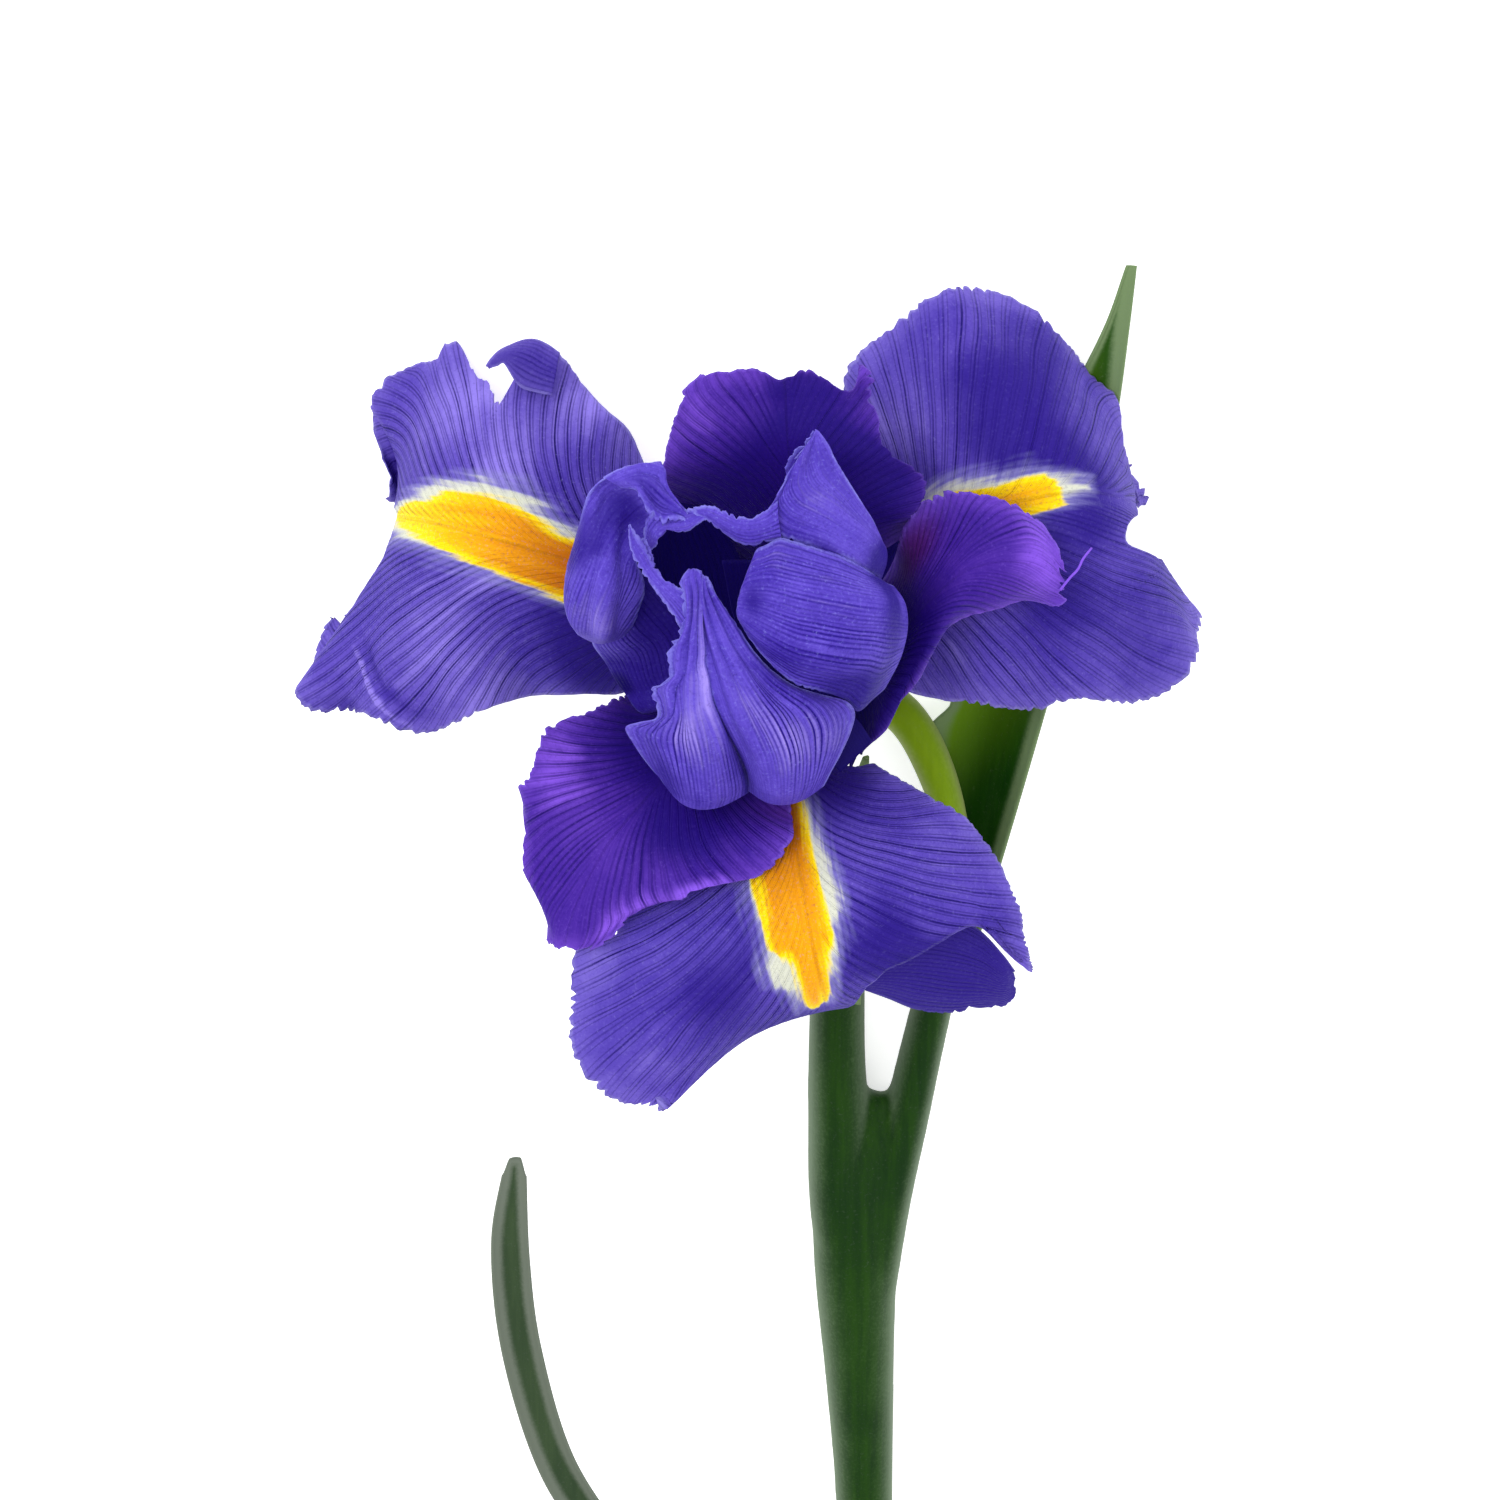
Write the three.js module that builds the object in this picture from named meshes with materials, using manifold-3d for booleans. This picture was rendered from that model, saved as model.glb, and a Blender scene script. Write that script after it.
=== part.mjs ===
// A cut iris flower, laid on its back on a table. Millimetres, +Z up, the stem along -Y.
// The bloom has three falls, three standards and three style arms with split crests over
// three stamens. It leans out of two green spathes at the top of a stem with one leaf.

import * as THREE from "three";
import { mergeVertices } from "three/addons/utils/BufferGeometryUtils.js";
import Module from "manifold-3d";

const wasm = await Module();
wasm.setup();

// Driving dimensions, mm and degrees.
const PETAL_THICKNESS = 0.7;
const ARM_THICKNESS = 0.75;
const BRACT_THICKNESS = 0.9;
const CLEARANCE = 0.4;

// The bloom's frame: its origin over the table, leant towards +Y by this much.
// In that frame +z looks out of the open flower, x runs across it and y up it.
const BLOOM_HEIGHT = 44;
const BLOOM_LEAN = 25;

// The flower's own axis in the bloom's frame, from the top of its short tube.
const TUBE_TOP = new THREE.Vector3(1.3, 8.4, -36);
const AXIS = new THREE.Vector3(-0.1025, 0.248, 0.963).normalize();
const TUBE_RADIUS = 3.2;
const COLUMN_RADIUS = 1.05;
const TUBE_HEIGHT = 6;
const COLUMN_HEIGHT = 10;

// Grid steps along and across each kind of blade.
const FALL_GRID = [26, 12];
const STANDARD_GRID = [20, 10];
const ARM_GRID = [18, 7];

// Directions of the falls about that axis. A style arm and a stamen stand over each.
const FALL_TURN = { left: 168, right: 25, bottom: 276 };
const STANDARD_TURN = { left: 225, right: 338, top: 97 };

const radians = THREE.MathUtils.degToRad;
const across = new THREE.Vector3(1, 0, 0).addScaledVector(AXIS, -AXIS.x).normalize();
const upward = new THREE.Vector3().crossVectors(AXIS, across);

// The direction away from the flower's axis at a turn about it.
function outward(turn) {
  const angle = radians(turn);
  return across.clone().multiplyScalar(Math.cos(angle))
    .addScaledVector(upward, Math.sin(angle));
}

// A point of the bloom by its turn about the flower's axis, its distance from it and its height.
function at(turn, out, up) {
  return TUBE_TOP.clone().addScaledVector(AXIS, up).addScaledVector(outward(turn), out);
}

// A smooth curve through points, read from 0 to 1.
function smooth(points) {
  const vectors = points.map((p) => (p.isVector3 ? p : new THREE.Vector3(...p)));
  const curve = new THREE.CatmullRomCurve3(vectors, false, "catmullrom", 0.5);
  return (t) => curve.getPoint(THREE.MathUtils.clamp(t, 0, 1));
}

// The narrow foot of a petal on the tube: [distance out, height, half width] for each station.
// The shares place the rib and the two margins across that width.
function claw(turn, stations, shares = [0, -1, 1]) {
  const side = new THREE.Vector3().crossVectors(outward(turn), AXIS);
  const row = (share) => stations.map(([out, up, half]) =>
    at(turn, out, up).addScaledVector(side, share * half));
  const [rib, left, right] = shares.map(row);
  return { rib, left, right };
}

// A leaf or petal: u runs from its foot to its tip, and v from its left margin at -1 over
// its rib at 0 to its right margin at 1. Each cross-section is the parabola through the three
// curves. Nicks pull a margin in, and waves lift both margins off the surface in turn.
function blade({ foot = { rib: [], left: [], right: [] }, rib, left, right, nicks = [], wave }) {
  const ribAt = smooth([...foot.rib, ...rib]);
  const leftAt = smooth([...foot.left, ...left]);
  const rightAt = smooth([...foot.right, ...right]);
  const plain = (u, v) => ribAt(u).multiplyScalar(1 - v * v)
    .addScaledVector(leftAt(u), (v * v - v) / 2)
    .addScaledVector(rightAt(u), (v * v + v) / 2);
  const reach = (u, v) => nicks.reduce((kept, { side, at: place, width, depth }) =>
    Math.sign(v) === side ? kept - depth * Math.exp(-(((u - place) / width) ** 2)) : kept, 1);
  if (!wave) return (u, v) => plain(u, v * reach(u, v));
  const step = 0.004;
  return (u, v) => {
    const w = v * reach(u, v);
    const point = plain(u, w);
    const along = plain(Math.min(u + step, 1), w).sub(plain(Math.max(u - step, 0), w));
    const over = plain(u, w + step).sub(plain(u, w - step));
    const normal = over.cross(along).normalize();
    const lift = wave.height * Math.abs(w) ** 3 * THREE.MathUtils.smoothstep(u, 0.25, 0.5)
      * Math.sin(2 * Math.PI * wave.count * u + wave.phase + (w > 0 ? 0 : 2));
    return point.addScaledVector(normal, lift);
  };
}

// Turns a closed triangle mesh inside out if its faces point inwards.
function facingOut(positions, index) {
  let volume = 0;
  const [a, b, c] = [new THREE.Vector3(), new THREE.Vector3(), new THREE.Vector3()];
  for (let i = 0; i < index.length; i += 3) {
    a.fromArray(positions, 3 * index[i]);
    b.fromArray(positions, 3 * index[i + 1]);
    c.fromArray(positions, 3 * index[i + 2]);
    volume += a.dot(b.cross(c));
  }
  if (volume < 0) index.reverse();
  const geometry = new THREE.BufferGeometry();
  geometry.setAttribute("position", new THREE.Float32BufferAttribute(positions, 3));
  geometry.setIndex(index);
  return geometry;
}

// A closed shell of even thickness about a surface, split into triangles alike on both faces.
function shell(surface, [rows, columns], thickness) {
  const grid = [];
  for (let i = 0; i <= rows; i += 1) {
    for (let j = 0; j <= columns; j += 1) {
      grid.push(surface(i / rows, (2 * j) / columns - 1));
    }
  }
  const width = columns + 1;
  const node = (i, j) => i * width + j;
  const faces = [[], []];
  for (let i = 0; i <= rows; i += 1) {
    for (let j = 0; j <= columns; j += 1) {
      const before = grid[node(Math.max(i - 1, 0), j)];
      const along = grid[node(Math.min(i + 1, rows), j)].clone().sub(before);
      const beside = grid[node(i, Math.max(j - 1, 0))];
      const over = grid[node(i, Math.min(j + 1, columns))].clone().sub(beside);
      const half = over.cross(along).setLength(thickness / 2);
      faces[0].push(grid[node(i, j)].clone().add(half));
      faces[1].push(grid[node(i, j)].clone().sub(half));
    }
  }
  const positions = [...faces[0], ...faces[1]].flatMap((p) => p.toArray());
  const under = grid.length;
  const index = [];
  for (let i = 0; i < rows; i += 1) {
    for (let j = 0; j < columns; j += 1) {
      const [a, b, c, d] = [node(i, j), node(i, j + 1), node(i + 1, j + 1), node(i + 1, j)];
      index.push(a, b, c, a, c, d);
      index.push(under + a, under + c, under + b, under + a, under + d, under + c);
    }
  }
  const rim = [];
  for (let j = 0; j < columns; j += 1) rim.push(node(0, j));
  for (let i = 0; i < rows; i += 1) rim.push(node(i, columns));
  for (let j = columns; j > 0; j -= 1) rim.push(node(rows, j));
  for (let i = rows; i > 0; i -= 1) rim.push(node(i, 0));
  rim.forEach((a, k) => {
    const b = rim[(k + 1) % rim.length];
    index.push(a, under + a, under + b, a, under + b, b);
  });
  return facingOut(positions, index);
}

// A rod through stations [x, y, z, half width, half height], cut off flat at both ends.
function rod(stations, rings, sides) {
  const line = smooth(stations.map(([x, y, z]) => [x, y, z]));
  const size = smooth(stations.map(([, , , wide, tall = wide]) => [wide, tall, 0]));
  const positions = [];
  for (let i = 0; i <= rings; i += 1) {
    const t = i / rings;
    const along = line(t + 0.01).sub(line(t - 0.01)).normalize();
    const side = new THREE.Vector3().crossVectors(along, new THREE.Vector3(0, 0, 1)).normalize();
    const top = new THREE.Vector3().crossVectors(side, along);
    const { x: wide, y: tall } = size(t);
    for (let k = 0; k < sides; k += 1) {
      const angle = (2 * Math.PI * k) / sides;
      positions.push(...line(t).addScaledVector(side, wide * Math.cos(angle))
        .addScaledVector(top, tall * Math.sin(angle)).toArray());
    }
  }
  const index = [];
  for (let i = 0; i < rings; i += 1) {
    for (let k = 0; k < sides; k += 1) {
      const next = (k + 1) % sides;
      const [a, b] = [i * sides + k, i * sides + next];
      index.push(a, b, b + sides, a, b + sides, a + sides);
    }
  }
  const last = rings * sides;
  for (let k = 1; k < sides - 1; k += 1) {
    index.push(0, k + 1, k, last, last + k, last + k + 1);
  }
  return facingOut(positions, index);
}

// The closed body of a geometry, for joining.
function solid(geometry) {
  const merged = mergeVertices(geometry, 1e-4);
  return new wasm.Manifold(new wasm.Mesh({
    numProp: 3,
    vertProperties: merged.attributes.position.array,
    triVerts: new Uint32Array(merged.index.array),
  }));
}

// One geometry of several bodies that run into each other.
function fused(geometries) {
  const joined = geometries.map(solid).reduce((whole, next) => whole.add(next));
  const mesh = joined.getMesh();
  const geometry = new THREE.BufferGeometry();
  geometry.setAttribute("position", new THREE.Float32BufferAttribute(mesh.vertProperties, 3));
  geometry.setIndex([...mesh.triVerts]);
  return geometry;
}

const matt = (color, roughness) =>
  new THREE.MeshStandardMaterial({ color, roughness, metalness: 0 });
const GREEN = matt(0x2f6424, 0.6);
const PALE_GREEN = matt(0x86a02c, 0.55);
const GREY_GREEN = matt(0x4b5c46, 0.7);
const BLUE_VIOLET = matt(0x4c3ba8, 0.6);
const DEEP_PURPLE = matt(0x3f1f92, 0.6);
const LIGHT_VIOLET = matt(0x6155c4, 0.6);
const ANTHER_CREAM = matt(0xd8cfa6, 0.8);

function piece(name, geometry, material) {
  const mesh = new THREE.Mesh(geometry, material);
  mesh.name = name;
  return mesh;
}

// Falls: the outer petals. Each arches out from the tube, then its end turns down.
const PETAL_FOOT = TUBE_RADIUS + CLEARANCE + PETAL_THICKNESS / 2;
const FALL_CLAW = [[PETAL_FOOT, 0.8, 1.5], [4.9, 6, 1.9], [9.5, 13.5, 3.8]];
const FALLS = {
  left: {
    rib: [[-17, 20, -16], [-26, 23, -12.5], [-33.5, 25, -13.5], [-39, 26.5, -19], [-42, 27, -27],
      [-41.5, 25.5, -35]],
    left: [[-16, 6.5, -24], [-25.5, 6, -21], [-36, 2.5, -22], [-47, 4.5, -28], [-53.5, 7.5, -32],
      [-48.5, 16.5, -36]],
    right: [[-12.2, 33.2, -21], [-16.5, 41.3, -21], [-24, 47.6, -23.5], [-34.5, 47, -25.3],
      [-43, 42, -28], [-43, 34, -30.9]],
    nicks: [{ side: 1, at: 0.73, width: 0.02, depth: 0.3 }],
    wave: { count: 7, height: 1.2, phase: 0 },
  },
  right: {
    rib: [[19, 23.5, -18], [24.5, 27, -12], [30.5, 28.5, -9], [37, 29.5, -10], [42.5, 29, -16],
      [46, 27, -26], [46.5, 24.5, -34]],
    left: [[12, 32.5, -22], [13.5, 45, -20], [22.5, 53.5, -19], [32.6, 51.2, -21], [41.5, 42.5, -24],
      [45, 34, -28], [47, 28, -34]],
    right: [[18.5, 7, -28], [26, 5.5, -26], [35, 5, -25], [46, 6, -27], [53.5, 12.5, -30],
      [51, 18, -33], [48.5, 22.5, -37.8]],
    wave: { count: 7, height: 1, phase: 1 },
  },
  bottom: {
    rib: [[5, -5, -12], [5.5, -11.5, -7], [6.5, -18, -4.5], [8, -25, -7], [9, -29.5, -14],
      [9, -30.5, -24], [8.5, -29.5, -31]],
    left: [[13.5, 0.5, -20], [18, -3, -15], [25.5, -8.5, -13], [30.5, -16.5, -14],
      [32.5, -25, -16], [31, -29, -24], [20, -31, -30]],
    right: [[-7, -2.5, -20], [-13.5, -11.5, -16], [-19, -21.5, -14], [-20.5, -32, -14],
      [-13.5, -41.3, -17], [-6.3, -37.3, -20], [-2.5, -33.5, -27]],
    nicks: [{ side: -1, at: 0.85, width: 0.025, depth: 0.2 }],
    wave: { count: 7, height: 1, phase: 2 },
  },
};

// Standards: the inner petals, here spread wide and cupped.
const STANDARD_CLAW = [[PETAL_FOOT, 0.8, 1.4], [4.6, 6, 1.7], [6.5, 12, 2.6]];
const STANDARDS = {
  left: {
    rib: [[-2, 5, -19.5], [-7, -0.5, -13], [-11.5, -5.5, -8], [-16, -11, -5.5],
      [-19.5, -17.5, -6.5], [-21, -22.5, -8.5]],
    left: [[-2.8, 4, -16.3], [3.8, -4.5, -8.6], [4.8, -9, -5.7], [0, -14.5, -4.5], [-9, -17, -6],
      [-18, -22, -8.5]],
    right: [[-7, 8.3, -20.5], [-14.3, 5.8, -13.8], [-21.5, 3, -9], [-25.5, -4.5, -7.5],
      [-25, -13, -9], [-23, -21.5, -10]],
    wave: { count: 6, height: 0.8, phase: 0 },
  },
  right: {
    rib: [[12.5, 10.5, -20.5], [16.5, 12.5, -13], [20.5, 17, -7], [25, 20.5, -3],
      [30.5, 21, -2], [35.5, 18.5, -6]],
    left: [[11.5, 13.5, -19.3], [16, 18.5, -14], [18.5, 24, -8], [22.5, 28.5, -4], [29.5, 28, -3],
      [35.5, 20, -5]],
    right: [[11.5, 1.8, -17.6], [13.5, 0.4, -15], [17.5, 6, -11.3], [21.5, 12.5, -10], [28.5, 16, -9],
      [35, 16.5, -8]],
    wave: { count: 6, height: 0.6, phase: 1 },
  },
  top: {
    rib: [[2, 19.5, -19], [4, 24, -9], [4.5, 29.5, -1], [4, 34.5, 4], [3.5, 42, 5]],
    left: [[-6, 18, -20], [-9.5, 22.3, -12], [-10.5, 29, -4], [-9.5, 35.5, 1],
      [-5, 41.3, 4]],
    right: [[7, 20, -20], [16, 24.5, -10.5], [19.5, 29.5, -4], [16.5, 35, 0], [13, 41, 3]],
    wave: { count: 6, height: 0.8, phase: 2 },
  },
};

// Style arms: each is a strap arched over a fall, its lip bulging out and its two crest lobes
// turned back over the flower's middle. A half arm runs from the strap's foot to its lobe.
const STRAP_FOOT = COLUMN_RADIUS + CLEARANCE + ARM_THICKNESS / 2;
const ARM_FOOT = [[STRAP_FOOT, 7.2, 1.3], [3.2, 13, 2.6]];
const ARMS = {
  bottom: [
    {
      side: 1,
      middle: [[0.5, 5.8, -15], [-1, -2, -6.5], [-4.5, -5.5, -1], [-7.5, -3.5, 6], [-8.5, 1, 11],
        [-7.5, 7.5, 15], [-6.5, 15, 18], [-6.5, 19, 18]],
      inner: [[2, 5.8, -14.5], [1, -2.2, -5.5], [0, -5, -1], [-0.5, -2.5, 5], [-2, 2, 9],
        [-3, 7.5, 13], [-4, 14, 17], [-4, 17.5, 18]],
      outer: [[-2, 6.5, -16.5], [-6, 0.5, -9], [-10.5, -3.5, -3], [-13.5, 1, 3], [-12, 5.5, 8],
        [-9.5, 10.5, 13], [-8.5, 15, 16], [-8.5, 17.5, 17]],
    },
    {
      side: -1,
      middle: [[2, 5.8, -15], [5, -1.2, -6.5], [5.5, -5.5, -1], [5.5, -2, 6], [3.5, 2.5, 10],
        [0.5, 7.5, 13], [-2, 12, 15], [-3.5, 16, 16]],
      inner: [[0.5, 5.8, -14.5], [0.8, -2.2, -5.5], [-0.6, -4.7, -1.5], [-1, -2.3, 4.2],
        [-2.4, 2, 8.2], [-3.6, 7.5, 12.2], [-4.2, 12, 15.2], [-4.8, 16, 16.3]],
      outer: [[4.8, 6, -16.5], [10, 1.5, -9], [11, -1, -2], [12.5, 4, 4], [9, 5.5, 9],
        [4.5, 7.5, 11], [0.5, 10.5, 13], [-2.5, 15, 15]],
    },
  ],
  right: [
    {
      side: -1,
      middle: [[7, 16, -15.5], [12.5, 16.8, -7], [14.5, 18.5, 0], [13, 22.5, 7], [10.5, 26, 11],
        [8, 29, 14], [6.5, 32.5, 16]],
      inner: [[7.2, 14.8, -15], [12.8, 15.5, -6], [14.5, 18, 0], [11, 20.5, 6], [7, 22, 9],
        [2, 24, 12], [-1.5, 25.5, 13]],
      outer: [[6.5, 18.3, -17], [12.8, 19.8, -9.5], [15, 21.5, -2], [12.5, 27.5, 5], [10, 30.5, 10],
        [8.5, 33, 14], [7, 34.5, 16]],
    },
    {
      side: 1,
      middle: [[7.5, 13.8, -15.5], [13.3, 12.5, -7], [17, 12, 0], [13, 12, 7], [8.5, 13.5, 10],
        [4.5, 15, 12], [0, 17, 14]],
      inner: [[7.2, 15.2, -15], [13, 15.7, -6], [16, 17, 0], [13.5, 19, 6], [9.5, 20.5, 9],
        [5, 22, 12], [1, 21.5, 14]],
      outer: [[8.5, 11.3, -17], [13.3, 9, -9.5], [15.5, 6.5, -2], [11, 4.3, 4.3], [6, 7.2, 8.4],
        [1.5, 9.2, 10.6], [-1.5, 14.5, 13]],
    },
  ],
  left: [
    {
      side: -1,
      middle: [[-8, 12.5, -18], [-14.5, 14, -8], [-19.5, 16, 0], [-17.5, 17.5, 7],
        [-14.5, 20, 11], [-12.5, 22, 14]],
      inner: [[-8.5, 14, -17], [-15, 16, -7], [-20, 19.5, 0], [-18.5, 21.8, 6],
        [-15.5, 23.2, 10.5], [-13, 24, 14.5]],
      outer: [[-8, 10, -19], [-12.5, 8.5, -11], [-18, 11.5, -3], [-13.5, 12.5, 3],
        [-12, 16.5, 8], [-11, 20.5, 12]],
    },
    {
      side: 1,
      middle: [[-8.5, 15, -18], [-15, 18, -8], [-19, 24, 0], [-16, 28, 7], [-12, 28, 11],
        [-9, 27, 13]],
      inner: [[-8, 13.8, -17], [-15, 15.8, -7], [-20, 19.2, 0], [-17.8, 24.3, 6], [-13.8, 26, 10],
        [-10.2, 25.5, 12]],
      outer: [[-7.5, 17.5, -19], [-12.5, 23.5, -11], [-17, 29, -3], [-13, 31, 3], [-10, 31, 7],
        [-6.5, 27, 10]],
    },
  ],
};

// Stamens: a filament under each style arm, then its anther, as [distance out, height, radius],
// and how much each one is raised towards its end to pass between its arm and its fall.
const FILAMENT = [[2.9, 6.6, 0.45], [4.7, 10, 0.45], [8.6, 14.8, 0.45], [10, 16.2, 0.45]];
const ANTHER = [[9.6, 15.8, 0.6], [11, 17, 0.9], [12.5, 18, 0.8], [13.9, 18.8, 0.5]];
const STAMEN_RISE = { left: 4.7, right: 0, bottom: 0.5 };

// The stem, from its cut end to the spathes.
const STEM = [[16.3, -212, 3.6, 3.6], [16.2, -192, 4.3, 3.7], [16, -172, 4.5, 3.7],
  [15.6, -150, 4.6, 3.7], [15.1, -127, 4.8, 3.8], [14.3, -108, 5, 4.5], [13.8, -92, 5.2, 5.5, 5],
  [13.9, -79, 5.4, 6.1, 4.5], [14.8, -71, 5.3, 5.8, 3.4], [15.2, -66, 5.2, 4.2, 1.8]];
const STEM_FORKS = [
  [[13.1, -98, 5.2, 3.4, 3.9], [11.6, -82, 5.5, 4, 4.5], [11.2, -69, 5.7, 3.9, 4.6],
    [10.9, -60, 5.7, 3.6, 4.3]],
  [[15.3, -98, 5.2, 3.2, 3.8], [17.3, -82, 5.3, 3.2, 4.1], [19.8, -69, 5.2, 2.9, 3.9],
    [21.5, -59.9, 5, 2.7, 3.6]],
];

// The pedicel, the ovary and the bend of the tube up to the petals.
const OVARY = [[21.6, -59.4, 4.8, 1.2], [23.2, -51, 4.8, 1.3], [25, -41, 5.2, 1.7],
  [24.4, -30, 6, 2.5], [21.5, -21, 5.9, 3], [17.5, -14.5, 5.4, 3], [12.5, -11, 4.9, 2.7],
  [7.5, -9.8, 4.6, 2.5], [3.8, -9.6, 5.2, 2.5]];

// Spathes: the long outer valve is a trough under the ovary, and the inner one stands on edge.
const OUTER_SPATHE = {
  rib: [[21.7, -59.2, 1.7], [23.8, -50, 1.6], [26, -38, 1.5], [28, -25, 1.5],
    [30, -13.5, 1.5], [33, 0, 1.6], [36.6, 13, 1.7], [39.8, 25, 1.8], [42.3, 35, 1.9],
    [44, 42.5, 2.3]],
  left: [[19, -58.8, 6.8], [20, -50, 5.5], [21, -38, 3.2], [22.2, -25, 2.1],
    [23.1, -13.5, 2.2], [26.3, 0, 3], [31.3, 13, 3.2], [36.3, 25, 2.8], [40.7, 35, 2.5],
    [43.6, 42.5, 2.5]],
  right: [[24.4, -59.8, 6.8], [26.9, -50, 7.2], [30, -38, 7.7], [33, -25, 8],
    [35.6, -13.5, 7.5], [38.6, 0, 6.5], [41.1, 13, 4.8], [42.8, 25, 3.2], [43.7, 35, 2.6],
    [44.5, 42.5, 2.5]],
};
const INNER_SPATHE = {
  rib: [[7.7, -59.1, 5.6], [7.6, -51, 5.6], [8.1, -42, 5.8], [9.4, -34, 6], [11.4, -26, 6.2],
    [13.8, -18.5, 6.5]],
  left: [[14.1, -59.1, 9.4], [13.7, -51, 9.2], [13.8, -42, 8.9], [14, -34, 8.4],
    [14.3, -26, 7.6], [14.4, -18.5, 6.9]],
  right: [[14.1, -59.1, 1.9], [13.7, -51, 2.1], [13.8, -42, 2.5], [14, -34, 3.2],
    [14.3, -26, 4.6], [14.4, -18.5, 6]],
};

// The leaf clasps the stem and bows out beside it.
const LEAF = {
  rib: [[11.4, -192, 5.2], [7, -180, 6.4], [-1, -165, 8.2], [-9.8, -147, 10], [-18, -131, 11],
    [-25.2, -117, 11.3], [-29.2, -100, 11], [-30.4, -86, 9.8], [-29.7, -73.3, 8.5]],
  left: [[12.2, -192, 1.7], [6.6, -181.5, 3.2], [-2.6, -167.5, 7], [-11.8, -148.3, 10.6],
    [-20.2, -132.5, 12], [-27.3, -118.4, 12.5], [-31.7, -100.5, 12.2], [-32.8, -85, 10.8],
    [-31, -73.9, 8.8]],
  right: [[14, -192, 8.7], [9.6, -178.8, 9.4], [1.2, -163.3, 10.6], [-7.6, -145.8, 11.6],
    [-16, -129.7, 12.2], [-23, -115.8, 12.5], [-26.8, -99.6, 12.2], [-28.1, -87, 10.8],
    [-28.3, -73.6, 8.8]],
};

const bloom = new THREE.Group();
bloom.rotation.x = -radians(BLOOM_LEAN);
bloom.position.z = BLOOM_HEIGHT;
bloom.updateMatrix();

// A point of the bloom by its height on the flower's axis, over the table.
function onAxis(up) {
  return at(0, 0, up).applyMatrix4(bloom.matrix).toArray();
}

function petal(name, foot, form, grid, colour) {
  return piece(name, shell(blade({ foot, ...form }), grid, PETAL_THICKNESS), colour);
}

function styleArm(name, turn, halves) {
  const bodies = halves.map(({ side, middle, inner, outer }) => {
    const foot = claw(turn, ARM_FOOT, [0.45 * side, -0.1 * side, side]);
    const surface = blade({ foot, rib: middle, left: inner, right: outer });
    return shell(surface, ARM_GRID, ARM_THICKNESS);
  });
  return piece(name, fused(bodies), LIGHT_VIOLET);
}

function stamen(name, turn, rise) {
  const [start] = FILAMENT[0];
  const [end] = ANTHER[ANTHER.length - 1];
  const raised = (out, up) => up + (rise * (out - start)) / (end - start);
  const along = (stations) => stations.map(([out, up, radius]) =>
    [...at(turn, out, raised(out, up)).toArray(), radius]);
  const geometry = fused([rod(along(FILAMENT), 8, 8), rod(along(ANTHER), 8, 8)]);
  return piece(name, geometry, ANTHER_CREAM);
}

function ovary() {
  const tube = [...OVARY, [...onAxis(-0.5), 2.7], [...onAxis(2.5), TUBE_RADIUS],
    [...onAxis(TUBE_HEIGHT), TUBE_RADIUS - 0.3]];
  const column = [[...onAxis(TUBE_HEIGHT - 2), COLUMN_RADIUS],
    [...onAxis(TUBE_HEIGHT + 1), COLUMN_RADIUS], [...onAxis(COLUMN_HEIGHT), COLUMN_RADIUS]];
  return piece("ovary", fused([rod(tube, 36, 16), rod(column, 3, 10)]), PALE_GREEN);
}

function stem() {
  const forks = STEM_FORKS.map((fork) => rod(fork, 10, 14));
  return piece("stem", fused([rod(STEM, 28, 20), ...forks]), GREEN);
}

function bract(name, form, grid, colour) {
  return piece(name, shell(blade(form), grid, BRACT_THICKNESS), colour);
}

for (const [where, form] of Object.entries(FALLS)) {
  const turn = FALL_TURN[where];
  bloom.add(petal(`fall_${where}`, claw(turn, FALL_CLAW), form, FALL_GRID, BLUE_VIOLET));
  bloom.add(styleArm(`style_arm_${where}`, turn, ARMS[where]));
  bloom.add(stamen(`stamen_${where}`, turn, STAMEN_RISE[where]));
}
for (const [where, form] of Object.entries(STANDARDS)) {
  const foot = claw(STANDARD_TURN[where], STANDARD_CLAW);
  bloom.add(petal(`standard_${where}`, foot, form, STANDARD_GRID, DEEP_PURPLE));
}

const flower = new THREE.Group();
flower.add(bloom);
flower.add(ovary());
flower.add(stem());
flower.add(bract("spathe_outer", OUTER_SPATHE, [26, 8], GREEN));
flower.add(bract("spathe_inner", INNER_SPATHE, [16, 8], GREEN));
flower.add(bract("leaf", LEAF, [24, 6], GREY_GREEN));

// The middle of the space it takes up, on the table, is the origin.
const space = new THREE.Box3().setFromObject(flower, true);
const middle = space.getCenter(new THREE.Vector3());
flower.position.set(-middle.x, -middle.y, -space.min.z);

export default flower;
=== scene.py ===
"""Dressed model of a cut iris: veined petals, crested style arms, stem, bracts and leaf.

Lengths are in millimetres. The bloom's points are in the bloom's own frame, whose +z looks out of
the open flower. All other points are in the table's frame, +Z up, and SHIFT moves that frame to the
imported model's.
"""

from __future__ import annotations

import logging
import math
from dataclasses import dataclass, field
from enum import Enum

import bpy
import numpy as np
import numpy.typing as npt
from mathutils import Matrix


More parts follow.
